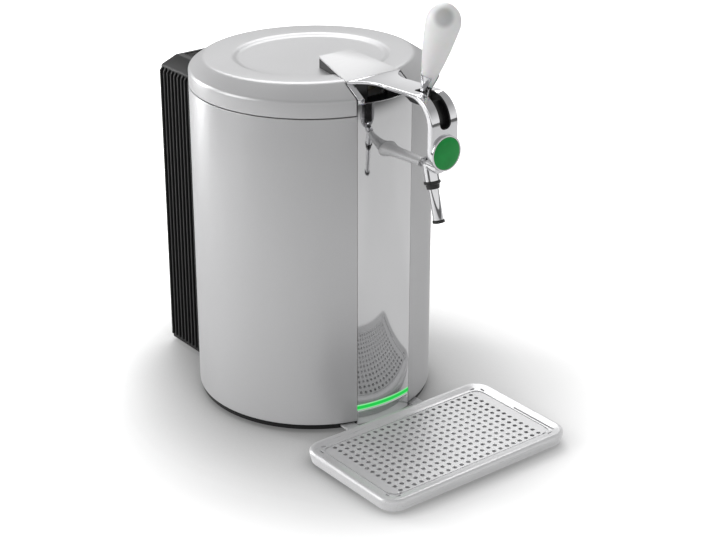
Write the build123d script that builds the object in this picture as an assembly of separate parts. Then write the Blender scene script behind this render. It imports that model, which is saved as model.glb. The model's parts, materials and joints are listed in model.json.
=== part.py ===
"""Countertop beer dispenser for a five-litre mini keg: cooled drum, tap, lid and drip tray.

Millimetres. +Z is up, the tap faces -Y, and +X is to the right of someone behind the machine
who looks out over the tap. Every piece is drawn about the drum's own vertical axis with the
table at z = 0, and is moved along Y by AXIS_Y when it is written.
"""
import os
from math import cos, radians, sin, sqrt, tan

from build123d import *

# ---------------------------------------------------------------- driving dimensions
# drum
BODY_R = 130.0            # outside radius of the drum
SHELL_WALL = 1.5          # painted sheet
SHELL_BOTTOM = 10.0       # lower edge of the painted sheet above the table
SEAM_Z = 356.6            # joint line between drum and lid
SEAM_GAP = 1.0
BASE_BOTTOM = 4.0
BASE_INSET = 2.0          # base plate inside the shell
BASE_TOP = 14.0
FRONT_FOOT = (84.0, 60.0)         # x, and distance inside the drum's front
REAR_FOOT = (56.0, 24.5)          # x, and distance inside the housing's rear
FOOT_R = 9.0
TRAY_FOOT_INSET = 24.0
TRAY_FOOT_R = 6.0
OVER = 5.0                # how far cutters reach past the face they cut
NUDGE = 1.0               # the same where there is little room
REAR_WINDOW_W = 96.0      # hole in shell and foam that the cooler passes through
REAR_WINDOW_H = 136.0
COOLER_Z = 205.0          # height of the cooler's centre

# front panel and light
PANEL_HALF_W = 35.3
PANEL_SIDE_GAP = 0.4
PANEL_ABOVE_SEAM = 12.4
PANEL_BOTTOM = 28.9
TRIM_BOTTOM = 5.5
TRIM_TOP = 22.3
TRIM_DEPTH = 14.0
LIGHT_GAP = 0.2
LIGHT_SINK = 0.4          # strip's face inside the panel's
LIGHT_DEEPER = 1.5        # strip's back behind the sheet's inner face

# keg chamber
CHAMBER_R = 84.0
LINER_WALL = 1.5
CHAMBER_FLOOR = 62.0
FLANGE_T = 1.6
FLANGE_BELOW_SEAM = 2.0
SEAL_R_IN = 88.0
SEAL_R_OUT = 96.0
SEAL_H = 3.6
PAD_R_OUT = 66.0
PAD_R_IN = 34.0
PAD_T = 2.0

# lid
LID_BAND_H = 17.4
LID_BEVEL_W = 18.0
LID_RISE = 29.2           # sloping top above the seam, on the drum's axis
LID_TILT = 1.6            # degrees, higher at the tap
LID_WALL = 2.0
DISH_RING_W = 31.0        # flat ring between the bevel and the dish
DISH_DEPTH = 3.0
DISH_SLOPE = 2.5
BEVEL_DROP = 0.4          # the inner bevel starts this share of the wall lower
LID_LINER_T = 3.0
LID_SEAL_GAP = 0.3
LID_FOAM_R = 80.0
LID_FOAM_T = 8.0
NOTCH_HALF_W = 36.3
NOTCH_DEPTH = 24.8        # notch that clears the tap, from the drum's face
MOUTH_HALF_W = 13.0       # way out for the beer tube
MOUTH_ABOVE_SEAM = 7.4
MOUTH_BELOW_TOP = 3.8
TUBE_HOLE_R = 18.0
CHANNEL_HALF_W = 7.0

# handle plate on the lid
PLATE_LENGTH = 64.5
PLATE_OVERHANG = 0.8      # plate past the notch's wall
PLATE_BACK_HALF = 21.4
PLATE_FRONT_HALF = 34.5
PLATE_BACK_RISE = 11.2    # plate's top face above the lid's top
PLATE_FRONT_RISE = 2.2
PLATE_T = 2.2
SUPPORT_REACH = 9.0       # wedge to both sides of the dish's edge
SUPPORT_HALF_W = 18.0

# lid hinge
HINGE_OUT = 6.0           # hinge axis behind the drum
HINGE_ABOVE_SEAM = 6.4
PIN_R = 2.5
PIN_CLEARANCE = 0.05
KNUCKLE_R = 5.5
KNUCKLE_HALF = 14.0
BRACKET_HALF = 26.0
HINGE_SIDE_GAP = 0.4
BRACKET_FOOT_T = 1.6

# tap: arch, bridge, arm and neck
BRIDGE_GAP = 1.8          # between the bridge and the notch's wall
BRIDGE_ROOT_HALF = 34.5
BRIDGE_T = 3.0
FLANK_HALF = 21.5         # half-width part of the way along the taper
FLANK_AT = 13.5
BRIDGE_TAPER = 39.0
ARCH_HALF_W = 17.0
ARCH_OUT = 60.0           # centre of the arch's outer curve in front of the drum
ARCH_DROP = 24.0          # and below the bridge's root
ARCH_R = 28.5
POST_T = 7.5              # thickness of the front post
CREST_T = 4.2             # thickness of the strip at the arch's crest
CREST_RUN = 4.0           # the crest's underside starts this far behind the arch's centre
INNER_BEND = (-13.5, 16.4)        # middle of the arch's inner curve, from the arch's centre
SLOT_HALF_W = 7.0
SLOT_DROP = 3.0           # channel's end below the arch's centre
SLOT_BACK = 13.0          # channel's start behind the arch's centre
LINER_HALF_W = 9.2
LINER_INSET = 3.6
LINER_WALL_T = 1.4
LINER_BEND = (-10.5, 12.4)
LINER_BACK = 30.0
LINER_FLOOR_BACK = 14.0
ARM_DROP = 45.0           # arm below the arch's centre
ARM_A = 6.0
ARM_B = 3.9
ARM_CLEARANCE = 0.6
ARM_NUT_R = 10.0
ARM_NUT_T = 6.0
ARM_FLANGE_R = 9.5
ARM_FLANGE_T = 2.4
ARM_TAIL = 16.0           # length of the arm behind the panel
POCKET_ROOM = 2.0         # room in the foam around the nut
HUB_HALF_W = 8.6
HUB_BACK = 4.0            # hub's back behind the arch's centre
HUB_BELOW_ARM = 7.5
HUB_ABOVE_ARM = 10.0
HUB_FILLET = 3.5
MOUNT_SET_BACK = 17.0
MOUNT_DROP = 2.0          # floor of the tube's tunnel below the panel's top
CHEEK_W = 6.5

# badge
BADGE_DROP = 27.0         # badge's centre below the arch's
BADGE_R = 18.5
BADGE_RING_W = 1.9
BADGE_RING_T = 3.2
BADGE_DOME = 1.5
BADGE_SEAT = 1.2          # floor of the ring under the lens
BADGE_SINK = 0.4

# spout
SPOUT_LEAN = 15.7         # degrees, the tip leans forward
SPOUT_OUT = 12.2          # spout's axis in front of the arch's centre where the collar ends
SPOUT_DROP = 24.5         # and below the arm
NECK_R = 7.8
COLLAR_R_TOP = 8.6
COLLAR_R_END = 6.6
COLLAR_H = 8.0
NOZZLE_R = 5.3
NOZZLE_BORE = 3.9
NOZZLE_L = 32.4
TIP_R = 6.4
TIP_H = 2.6
NECK_L = 20.0
SOCKET_L = 7.0

# lever
LEVER_BACK = 4.5          # pivot behind and above the arch's centre
LEVER_RISE = 22.0
LEVER_LEAN = 18.3         # degrees forward of upright at rest
LEVER_PIN_R = 1.6
LEVER_HUB_R = 4.0
LEVER_HUB_HALF = 6.2
STEM_FOOT_R = 4.8
LEVER_CLEARANCE = 0.6
GRIP_START = 12.0         # distances from the pivot along the lever
GRIP_WAIST_AT = 35.0
GRIP_BELLY_AT = 57.5
GRIP_HEAD_AT = 84.0
GRIP_END = 104.5
GRIP_FOOT_R = 4.6
GRIP_WAIST_R = 10.2
GRIP_BELLY_R = 14.2
GRIP_HEAD_R = 17.3
PRONG_T = 1.3
PRONG_END = 27.0
WINDOW_HALF_W = 4.6
WINDOW_FOOT = 3.0
LEVER_TRAVEL = 50.0

# shut-off plunger in the neck, above the spout
PLUNGER_R = 3.1
PLUNGER_L = 7.0
PLUNGER_CLEARANCE = 0.08
PLUNGER_TRAVEL = 3.0

# drip tray
TRAY_HALF_W = 124.0
TRAY_GAP = 12.0           # between the drum and the tray
TRAY_DEPTH = 149.0
TRAY_TOP = 16.3
TRAY_BOTTOM = 3.0
TRAY_R = 21.0
TRAY_TAPER = 3.0
TRAY_RIM = 15.0
TRAY_FLOOR_T = 2.0
GRID_T = 1.2
GRID_SINK = 1.2           # grid's top below the rim
GRID_GAP = 0.5
GRID_PITCH = 9.0
GRID_HOLE_R = 2.1
GRID_END_MARGIN = 12.0
GRID_SIDE_MARGIN = 4.0
GRID_LEDGE = 3.0
GRID_CORNER_R = 9.0
TONGUE_X = 45.0
TONGUE_HALF_W = 7.0
TONGUE_T = 2.4
TONGUE_BOTTOM = 5.4
TONGUE_REACH = 28.0       # tongues under the drum
TONGUE_CLEARANCE = 0.4

# rear housing
HOUSING_HALF_W = 72.5
HOUSING_ROOT = 70.0       # block starts this far inside the drum, which cuts it back
HOUSING_OUT = 54.5        # housing behind the drum
HOUSING_WALL = 2.5
HOUSING_BELOW_SEAM = 1.6
RIB_TOP_DROP = 12.0
HOUSING_CHAMFER = 12.5
RIB_PITCH = 7.0
RIB_W = 3.2
RIB_DEPTH = 3.5
SLAT_PITCH = 6.5
SLAT_W = 2.6
SLAT_T = 2.0
VENT_HALF_W = 54.0
VENT_RIM = 2.0
VENT_FROM_REAR = 36.5
VENT_REAR_GAP = 15.5
BODY_CLEARANCE = 0.3

# cooler
SINK_HALF_W = 44.0
SINK_HALF_H = 64.0
SINK_BASE_T = 6.0
SINK_SET_IN = 8.0         # heat sink's front inside the drum's face
SINK_FIN_L = 26.0
SINK_FIN_T = 1.6
SINK_FINS = 14
COLD_HALF_W = 26.0
COLD_HALF_H = 30.0
PELTIER_HALF = 20.0
PELTIER_T = 4.0
FAN_HALF = 40.0
FAN_T = 18.0
FAN_CORNER_R = 4.0
FAN_HOLE_R = 37.5
FAN_BLADE_R = 35.5
FAN_HUB_R = 13.0
FAN_BLADES = 7
FAN_BLADE_T = 1.6
FAN_BLADE_PITCH = 35.0
FAN_SHAFT_R = 2.5
FAN_SPIDER_W = 4.0
FAN_SPIDER_T = 3.0
FAN_FRONT_GAP = 2.0
FAN_BACK_GAP = 1.0
FAN_BLADE_ROOT = 3.0
FAN_BLADE_CHORD = 1.25    # blade's width as a share of the rotor's depth

# electrics
BOARD_HALF_W = 50.0
BOARD_H = 62.0
BOARD_T = 1.6
BOARD_FROM_REAR = 32.5
BOARD_BOTTOM = 24.0
BOARD_POST_INSET = 6.0
BOARD_POST_HALF = 4.0
BOARD_POST_OVER = 3.0
TRANSFORMER = (-30.0, -6.0, 16.0, 30.0, 54.0)     # x from and to, height, z from and to
CONNECTOR = (32.0, 44.0, 6.0, 8.0, 26.0)
CAPACITORS = ((12.0, 6.0, 14.0), (28.0, 4.0, 12.0))   # x, radius, height
CAPACITOR_UP = 42.0
INLET_X = -38.0
INLET_Z = 44.0
INLET_HALF_W = 13.8
INLET_HALF_H = 10.0
INLET_DEPTH = 20.0
INLET_WALL = 2.0
INLET_BACK_T = 3.0
INLET_PINS = ((-7.0, -1.5), (0.0, 1.5), (7.0, -1.5))
PIN_HALF_W = 1.0
PIN_HALF_H = 2.0
PIN_DEPTH = 5.5           # contact pins end below the socket's mouth
SWITCH_X = -4.0
SWITCH_HALF_W = 9.5
SWITCH_HALF_H = 6.5
SWITCH_FRAME = 1.6
SWITCH_GAP = 0.4
SWITCH_DEPTH = 12.0
SWITCH_TILT = 6.0         # degrees to either side of level
SWITCH_PIVOT_IN = 3.0
SWITCH_PIN_R = 1.2
SWITCH_EDGE_H = 3.2
SWITCH_MIDDLE_H = 2.0
SWITCH_SKIRT = 1.0
SWITCH_KEEL = 4.5
SCREW_R = 3.4
SCREW_T = 1.6
SCREW_INSET = 10.0
BOSS_R = 5.4

# ---------------------------------------------------------------- values that follow
HOUSING_REAR_Y = BODY_R + HOUSING_OUT
HOUSING_OUTER_Y = HOUSING_REAR_Y + RIB_DEPTH
HOUSING_START_Y = BODY_R - HOUSING_ROOT
HOUSING_TOP = SEAM_Z - HOUSING_BELOW_SEAM
HOUSING_RIB_TOP = HOUSING_TOP - RIB_TOP_DROP
VENT_FRONT_Y = HOUSING_REAR_Y - VENT_FROM_REAR
VENT_BACK_Y = HOUSING_REAR_Y - VENT_REAR_GAP
BOARD_Y = HOUSING_REAR_Y - BOARD_FROM_REAR
TRAY_BACK_Y = -(BODY_R + TRAY_GAP)
TRAY_FRONT_Y = TRAY_BACK_Y - TRAY_DEPTH
TONGUE_END_Y = -(BODY_R - TONGUE_REACH)
SWITCH_PIVOT_Y = HOUSING_REAR_Y - SWITCH_PIVOT_IN
AXIS_Y = -(TRAY_FRONT_Y + HOUSING_OUTER_Y) / 2
SHELL_TOP = SEAM_Z - SEAM_GAP / 2
PANEL_TOP = SEAM_Z + PANEL_ABOVE_SEAM
FLANGE_TOP = SEAM_Z - FLANGE_BELOW_SEAM
TRIM_BACK_Y = -(BODY_R - TRIM_DEPTH)
LID_BOTTOM = SEAM_Z + SEAM_GAP / 2
LID_BAND_TOP = SEAM_Z + LID_BAND_H
SHELL_IN_R = BODY_R - SHELL_WALL
LINER_R = CHAMBER_R + LINER_WALL
LID_LINER_BOTTOM = FLANGE_TOP + SEAL_H + LID_SEAL_GAP
SINK_FRONT_Y = BODY_R - SINK_SET_IN
FAN_Y = SINK_FRONT_Y + SINK_BASE_T + SINK_FIN_L
LID_TOP_R = BODY_R - LID_BEVEL_W
DISH_R = LID_TOP_R - DISH_RING_W
LID_TOP_Z = SEAM_Z + LID_RISE
LID_HOLLOW_TOP = LID_TOP_Z - DISH_DEPTH - LID_WALL - LID_TOP_R * tan(radians(LID_TILT))
NOTCH_Y = -(BODY_R - NOTCH_DEPTH)
MOUTH_BOTTOM = SEAM_Z + MOUTH_ABOVE_SEAM
MOUTH_TOP = LID_TOP_Z - MOUTH_BELOW_TOP
PLATE_FRONT_Y = NOTCH_Y - PLATE_OVERHANG
PLATE_BACK_Y = PLATE_FRONT_Y + PLATE_LENGTH
PLATE_FRONT_Z = LID_TOP_Z + PLATE_FRONT_RISE
PLATE_BACK_Z = LID_TOP_Z + PLATE_BACK_RISE
HINGE_Y = BODY_R + HINGE_OUT
HINGE_Z = SEAM_Z + HINGE_ABOVE_SEAM
BRIDGE_BACK_Y = NOTCH_Y - BRIDGE_GAP
BRIDGE_ROOT_Z = PLATE_FRONT_Z
BRIDGE_FLANK = (FLANK_HALF, BRIDGE_BACK_Y - FLANK_AT)
BRIDGE_NARROW_Y = BRIDGE_BACK_Y - BRIDGE_TAPER
MOUNT_FRONT_Y = -(BODY_R - MOUNT_SET_BACK)
ARCH_Y = -(BODY_R + ARCH_OUT)
ARCH_Z = BRIDGE_ROOT_Z - ARCH_DROP
ARCH_INNER_Y = ARCH_Y - ARCH_R + POST_T
SLOT_START_Y = ARCH_Y + SLOT_BACK
SLOT_END_Z = ARCH_Z - SLOT_DROP
LINER_BACK_Y = ARCH_Y + LINER_BACK
LINER_FLOOR_Y = ARCH_Y + LINER_FLOOR_BACK
ARM_Z = ARCH_Z - ARM_DROP
HUB_BACK_Y = ARCH_Y + HUB_BACK
HUB_BOTTOM = ARM_Z - HUB_BELOW_ARM
HUB_TOP = ARM_Z + HUB_ABOVE_ARM
BADGE_Z = ARCH_Z - BADGE_DROP
POST_BOTTOM = BADGE_Z - ARCH_HALF_W
SPOUT_Y = ARCH_Y - SPOUT_OUT
SPOUT_Z = ARM_Z - SPOUT_DROP
LEVER_Y = ARCH_Y + LEVER_BACK
LEVER_Z = ARCH_Z + LEVER_RISE
SPOUT_DIR = Vector(0, -sin(radians(SPOUT_LEAN)), -cos(radians(SPOUT_LEAN)))
UPRIGHT = (Align.CENTER, Align.CENTER, Align.MIN)
PARTS = "parts"


# ---------------------------------------------------------------- helpers
def block(x0, x1, y0, y1, z0, z1):
    """A box given by its two corners."""
    centre = Pos((x0 + x1) / 2, (y0 + y1) / 2, (z0 + z1) / 2)
    return centre * Box(abs(x1 - x0), abs(y1 - y0), abs(z1 - z0))


def drum(radius, z0, z1):
    """An upright cylinder on the drum's axis."""
    return Pos(0, 0, z0) * Cylinder(radius, z1 - z0, align=UPRIGHT)


def ring(outer, inner, z0, z1):
    """An upright tube on the drum's axis."""
    return drum(outer, z0, z1) - drum(inner, z0, z1)


def rod(radius, length, start, direction):
    """A cylinder that starts at a point and runs along a direction."""
    plane = Plane(origin=start, z_dir=direction)
    return extrude(plane * Circle(radius), amount=length)


def round_feet(places, radius, height):
    """Cylinders that stand on the table."""
    foot = Cylinder(radius, height, align=UPRIGHT)
    return [Pos(x, y, 0) * foot for x, y in places]


def side_solid(lines, half_width):
    """A closed outline in the Y-Z plane, thickened to both sides of x = 0."""
    return extrude(Plane.YZ * make_face(lines), amount=half_width, both=True)


def mirrored(shape):
    """A shape together with its mirror image across x = 0."""
    return shape + mirror(shape, about=Plane.YZ)


def dome(radius, start, height):
    """A spherical cap's outline, from its rim to its crown on the axis."""
    sphere = (radius ** 2 + height ** 2) / (2 * height)
    middle = radius / 2
    bend = start + height - sphere + sqrt(sphere ** 2 - middle ** 2)
    return ThreePointArc((radius, start), (middle, bend), (0, start + height))


def write(name, shape):
    """Write one sub-part into its own file, in the frame of the whole machine."""
    solids = shape if isinstance(shape, list) else [shape]
    export_step(Pos(0, AXIS_Y, 0) * Compound(solids), f"{PARTS}/{name}.step")


# ---------------------------------------------------------------- drum and base
def panel_gap_cutter(z0, z1):
    """The slot in the drum's front that the panel and its trim fill."""
    half = PANEL_HALF_W + PANEL_SIDE_GAP
    return block(-half, half, -BODY_R - OVER, 0, z0, z1)


def rear_window(y0, y1):
    """The opening at the back that the cooler passes through."""
    half_w = REAR_WINDOW_W / 2
    half_h = REAR_WINDOW_H / 2
    return block(-half_w, half_w, y0, y1, COOLER_Z - half_h, COOLER_Z + half_h)


def tongue_slot(x):
    half = TONGUE_HALF_W + TONGUE_CLEARANCE
    bottom = TONGUE_BOTTOM - TONGUE_CLEARANCE
    top = TONGUE_BOTTOM + TONGUE_T + TONGUE_CLEARANCE
    return block(x - half, x + half, -BODY_R, TONGUE_END_Y + 2 * TONGUE_CLEARANCE, bottom, top)


def base_plate():
    radius = BODY_R - BASE_INSET
    plate = drum(radius, BASE_BOTTOM, SHELL_BOTTOM)
    plate += drum(SHELL_IN_R - BODY_CLEARANCE, SHELL_BOTTOM, BASE_TOP)
    plate += block(-HOUSING_HALF_W, HOUSING_HALF_W, 0, HOUSING_REAR_Y, BASE_BOTTOM, SHELL_BOTTOM)
    for x in (-TONGUE_X, TONGUE_X):
        plate -= tongue_slot(x)
    half = PANEL_HALF_W + PANEL_SIDE_GAP
    plate -= block(-half, half, -BODY_R, TRIM_BACK_Y, BASE_BOTTOM, BASE_TOP)
    post_x = BOARD_HALF_W - BOARD_POST_INSET
    post = block(post_x - BOARD_POST_HALF, post_x + BOARD_POST_HALF, BOARD_Y - BOARD_POST_OVER,
                 BOARD_Y + BOARD_T + BOARD_POST_OVER, SHELL_BOTTOM, BOARD_BOTTOM)
    return plate + mirrored(post)


def rubber_feet():
    places = ((FRONT_FOOT[0], -(BODY_R - FRONT_FOOT[1])), (REAR_FOOT[0], HOUSING_REAR_Y - REAR_FOOT[1]))
    return round_feet([(side * x, y) for side in (-1, 1) for x, y in places], FOOT_R, BASE_BOTTOM)


def outer_shell():
    shell = ring(BODY_R, SHELL_IN_R, SHELL_BOTTOM, SHELL_TOP)
    shell -= panel_gap_cutter(SHELL_BOTTOM, SHELL_TOP)
    return shell - rear_window(0, BODY_R + OVER)


def front_strip(radius_out, radius_in, z0, z1):
    """A piece of the drum's curve, as wide as the panel."""
    strip = ring(radius_out, radius_in, z0, z1)
    return strip & block(-PANEL_HALF_W, PANEL_HALF_W, -BODY_R - OVER, -BODY_R / 2, z0, z1)


def front_panel():
    panel = front_strip(BODY_R, SHELL_IN_R, PANEL_BOTTOM, PANEL_TOP)
    return panel - rod(ARM_A + ARM_CLEARANCE, 4 * OVER, (0, -BODY_R - OVER, ARM_Z), (0, 1, 0))


def base_trim():
    room = block(-PANEL_HALF_W, PANEL_HALF_W, -BODY_R, TRIM_BACK_Y, TRIM_BOTTOM, TRIM_TOP)
    return drum(BODY_R, TRIM_BOTTOM, TRIM_TOP) & room


def light_strip():
    outer, inner = BODY_R - LIGHT_SINK, SHELL_IN_R - LIGHT_DEEPER
    return front_strip(outer, inner, TRIM_TOP + LIGHT_GAP, PANEL_BOTTOM - LIGHT_GAP)


def insulation():
    foam = ring(SHELL_IN_R, LINER_R, BASE_TOP, FLANGE_TOP - FLANGE_T)
    foam += drum(LINER_R, BASE_TOP, CHAMBER_FLOOR - LINER_WALL)
    foam -= rear_window(0, BODY_R) & block(-BODY_R, BODY_R, SINK_FRONT_Y - PELTIER_T, BODY_R, 0, SEAM_Z)
    foam -= cold_block()
    pocket_half = ARM_NUT_R + POCKET_ROOM
    pocket_y = -SHELL_IN_R + ARM_TAIL + POCKET_ROOM
    foam -= block(-pocket_half, pocket_half, -BODY_R, pocket_y, ARM_Z - pocket_half, ARM_Z + pocket_half)
    trim_room = block(-BODY_R, BODY_R, -BODY_R, TRIM_BACK_Y, 0, SEAM_Z)
    foam -= panel_gap_cutter(BASE_TOP, PANEL_BOTTOM) & trim_room
    return foam


def chamber_liner():
    liner = ring(LINER_R, CHAMBER_R, CHAMBER_FLOOR - LINER_WALL, FLANGE_TOP)
    liner += drum(LINER_R, CHAMBER_FLOOR - LINER_WALL, CHAMBER_FLOOR)
    return liner + ring(SHELL_IN_R - BODY_CLEARANCE, CHAMBER_R, FLANGE_TOP - FLANGE_T, FLANGE_TOP)


def chamber_seal():
    return ring(SEAL_R_OUT, SEAL_R_IN, FLANGE_TOP, FLANGE_TOP + SEAL_H)


def keg_pad():
    return ring(PAD_R_OUT, PAD_R_IN, CHAMBER_FLOOR, CHAMBER_FLOOR + PAD_T)


# ---------------------------------------------------------------- cooler
def cold_block():
    back = SINK_FRONT_Y - PELTIER_T
    body = block(-COLD_HALF_W, COLD_HALF_W, 0, back, COOLER_Z - COLD_HALF_H, COOLER_Z + COLD_HALF_H)
    return body - drum(LINER_R, 0, SEAM_Z)


def peltier_module():
    z0, z1 = COOLER_Z - PELTIER_HALF, COOLER_Z + PELTIER_HALF
    return block(-PELTIER_HALF, PELTIER_HALF, SINK_FRONT_Y - PELTIER_T, SINK_FRONT_Y, z0, z1)


def heat_sink():
    z0, z1 = COOLER_Z - SINK_HALF_H, COOLER_Z + SINK_HALF_H
    sink = block(-SINK_HALF_W, SINK_HALF_W, SINK_FRONT_Y, SINK_FRONT_Y + SINK_BASE_T, z0, z1)
    step = (2 * SINK_HALF_W - SINK_FIN_T) / (SINK_FINS - 1)
    fin_y = SINK_FRONT_Y + SINK_BASE_T
    for i in range(SINK_FINS):
        x = -SINK_HALF_W + i * step
        sink += block(x, x + SINK_FIN_T, fin_y, fin_y + SINK_FIN_L, z0, z1)
    return sink


def fan_frame():
    frame = block(-FAN_HALF, FAN_HALF, FAN_Y, FAN_Y + FAN_T, COOLER_Z - FAN_HALF, COOLER_Z + FAN_HALF)
    frame = fillet(frame.edges().filter_by(Axis.Y), FAN_CORNER_R)
    frame -= rod(FAN_HOLE_R, FAN_T, (0, FAN_Y, COOLER_Z), (0, 1, 0))
    back = FAN_Y + FAN_T - FAN_SPIDER_T
    arms = rod(FAN_HUB_R, FAN_SPIDER_T, (0, back, COOLER_Z), (0, 1, 0))
    half = FAN_SPIDER_W / 2
    for angle in (45, 135):
        arm = block(-FAN_HOLE_R - NUDGE, FAN_HOLE_R + NUDGE, back, back + FAN_SPIDER_T, -half, half)
        arms += Pos(0, 0, COOLER_Z) * Rot(0, angle, 0) * arm
    shaft_hole = rod(FAN_SHAFT_R + PIN_CLEARANCE, FAN_SPIDER_T, (0, back, COOLER_Z), (0, 1, 0))
    return frame + (arms - shaft_hole)


def fan_rotor():
    front = FAN_Y + FAN_FRONT_GAP
    depth = FAN_T - FAN_SPIDER_T - FAN_FRONT_GAP - FAN_BACK_GAP
    rotor = rod(FAN_HUB_R, depth, (0, front, COOLER_Z), (0, 1, 0))
    rotor += rod(FAN_SHAFT_R, FAN_T - FAN_FRONT_GAP, (0, front, COOLER_Z), (0, 1, 0))
    span = FAN_BLADE_R - FAN_HUB_R + FAN_BLADE_ROOT
    blade = Rot(FAN_BLADE_PITCH, 0, 0) * Box(span, FAN_BLADE_T, depth * FAN_BLADE_CHORD)
    blade = Pos(FAN_BLADE_R - span / 2, front + depth / 2, 0) * Rot(90, 0, 0) * blade
    for i in range(FAN_BLADES):
        rotor += Pos(0, 0, COOLER_Z) * Rot(0, i * 360 / FAN_BLADES, 0) * blade
    return rotor


# ---------------------------------------------------------------- rear housing
def housing_outline(inset, z0, z1):
    """The housing's block with the chamfered upper edge, moved in by a wall."""
    half = HOUSING_HALF_W - inset
    back = HOUSING_REAR_Y - inset
    body = block(-half, half, HOUSING_START_Y, back, z0, z1)
    if z1 > HOUSING_RIB_TOP - inset:
        edges = body.edges().group_by(Axis.Z)[-1]
        body = chamfer([edge for edge in edges if edge.center().Y > HOUSING_START_Y + NUDGE], HOUSING_CHAMFER)
    return body


def rib_places(half_span):
    count = int((half_span - RIB_W) // RIB_PITCH)
    return [i * RIB_PITCH for i in range(-count, count + 1)]


def housing_ribs():
    """Upright fins along the back and both sides."""
    half = RIB_W / 2
    z0, z1 = SHELL_BOTTOM, HOUSING_RIB_TOP - RIB_DEPTH
    ribs = []
    for x in rib_places(HOUSING_HALF_W):
        ribs.append(block(x - half, x + half, HOUSING_REAR_Y - NUDGE, HOUSING_OUTER_Y, z0, z1))
    y = HOUSING_REAR_Y - RIB_PITCH / 2
    contact_y = sqrt(BODY_R ** 2 - HOUSING_HALF_W ** 2)
    while y - half > contact_y + NUDGE:
        for side in (-1, 1):
            x0 = side * (HOUSING_HALF_W - NUDGE)
            x1 = side * (HOUSING_HALF_W + RIB_DEPTH)
            ribs.append(block(x0, x1, y - half, y + half, z0, z1))
        y -= RIB_PITCH
    return ribs


def rear_housing():
    shell = housing_outline(0, SHELL_BOTTOM, HOUSING_TOP)
    shell -= housing_outline(HOUSING_WALL, SHELL_BOTTOM, HOUSING_TOP - HOUSING_WALL)
    shell = shell + housing_ribs()
    for x, z in screw_places():
        shell += rod(BOSS_R, RIB_DEPTH, (x, HOUSING_REAR_Y, z), (0, 1, 0))
        shell -= rod(SCREW_R, SCREW_T, (x, HOUSING_OUTER_Y - SCREW_T, z), (0, 1, 0))
    shell -= drum(BODY_R + BODY_CLEARANCE, 0, HOUSING_TOP + OVER)
    shell -= block(-VENT_HALF_W, VENT_HALF_W, VENT_FRONT_Y, VENT_BACK_Y,
                   HOUSING_TOP - OVER, HOUSING_TOP + NUDGE)
    y0, y1 = HOUSING_REAR_Y - OVER, HOUSING_OUTER_Y + NUDGE
    for x, half_w, half_h in inlet_and_switch_holes():
        shell -= block(x - half_w, x + half_w, y0, y1, INLET_Z - half_h, INLET_Z + half_h)
    return shell


def inlet_and_switch_holes():
    frame = SWITCH_FRAME
    return ((INLET_X, INLET_HALF_W, INLET_HALF_H),
            (SWITCH_X, SWITCH_HALF_W + frame, SWITCH_HALF_H + frame))


def top_vent():
    """Louvre slats in the housing's top face."""
    z0 = HOUSING_TOP - HOUSING_WALL
    frame = block(-VENT_HALF_W, VENT_HALF_W, VENT_FRONT_Y, VENT_BACK_Y, z0, HOUSING_TOP)
    inner = VENT_HALF_W - VENT_RIM
    y0, y1 = VENT_FRONT_Y + VENT_RIM, VENT_BACK_Y - VENT_RIM
    frame -= block(-inner, inner, y0, y1, z0, HOUSING_TOP)
    count = int((y1 - y0) // SLAT_PITCH)
    step = (y1 - y0) / (count + 1)
    slat = Pos(0, 0, (z0 + HOUSING_TOP) / 2) * Box(2 * inner + NUDGE, SLAT_W, SLAT_T)
    for i in range(count):
        frame += Pos(0, y0 + (i + 1) * step, 0) * slat
    return frame


def housing_screws():
    """Screws that hold the housing, sunk in bosses in the corners of its back."""
    y = HOUSING_OUTER_Y - SCREW_T
    return [rod(SCREW_R, SCREW_T, (x, y, z), (0, 1, 0)) for x, z in screw_places()]


def screw_places():
    x = HOUSING_HALF_W - SCREW_INSET
    rows = (SHELL_BOTTOM + SCREW_INSET, HOUSING_RIB_TOP - 2 * SCREW_INSET)
    return [(side * x, z) for side in (-1, 1) for z in rows]


# ---------------------------------------------------------------- electrics
def control_board():
    top = BOARD_Y + BOARD_T
    board = block(-BOARD_HALF_W, BOARD_HALF_W, BOARD_Y, top, BOARD_BOTTOM, BOARD_BOTTOM + BOARD_H)
    for x0, x1, height, z0, z1 in (TRANSFORMER, CONNECTOR):
        board += block(x0, x1, top, top + height, BOARD_BOTTOM + z0, BOARD_BOTTOM + z1)
    for x, radius, height in CAPACITORS:
        board += rod(radius, height, (x, top, BOARD_BOTTOM + CAPACITOR_UP), (0, 1, 0))
    return board


def power_inlet():
    """Socket for the power lead: a box open to the rear with three contact pins."""
    y0, y1 = HOUSING_REAR_Y - INLET_DEPTH, HOUSING_REAR_Y
    floor = y0 + INLET_BACK_T
    body = inlet_block(0, y0, y1) - inlet_block(INLET_WALL, floor, y1)
    for dx, dz in INLET_PINS:
        x, z = INLET_X + dx, INLET_Z + dz
        body += block(x - PIN_HALF_W, x + PIN_HALF_W, floor, y1 - PIN_DEPTH,
                      z - PIN_HALF_H, z + PIN_HALF_H)
    return body


def inlet_block(inset, y0, y1):
    half_w = INLET_HALF_W - inset
    half_h = INLET_HALF_H - inset
    return block(INLET_X - half_w, INLET_X + half_w, y0, y1, INLET_Z - half_h, INLET_Z + half_h)


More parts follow.
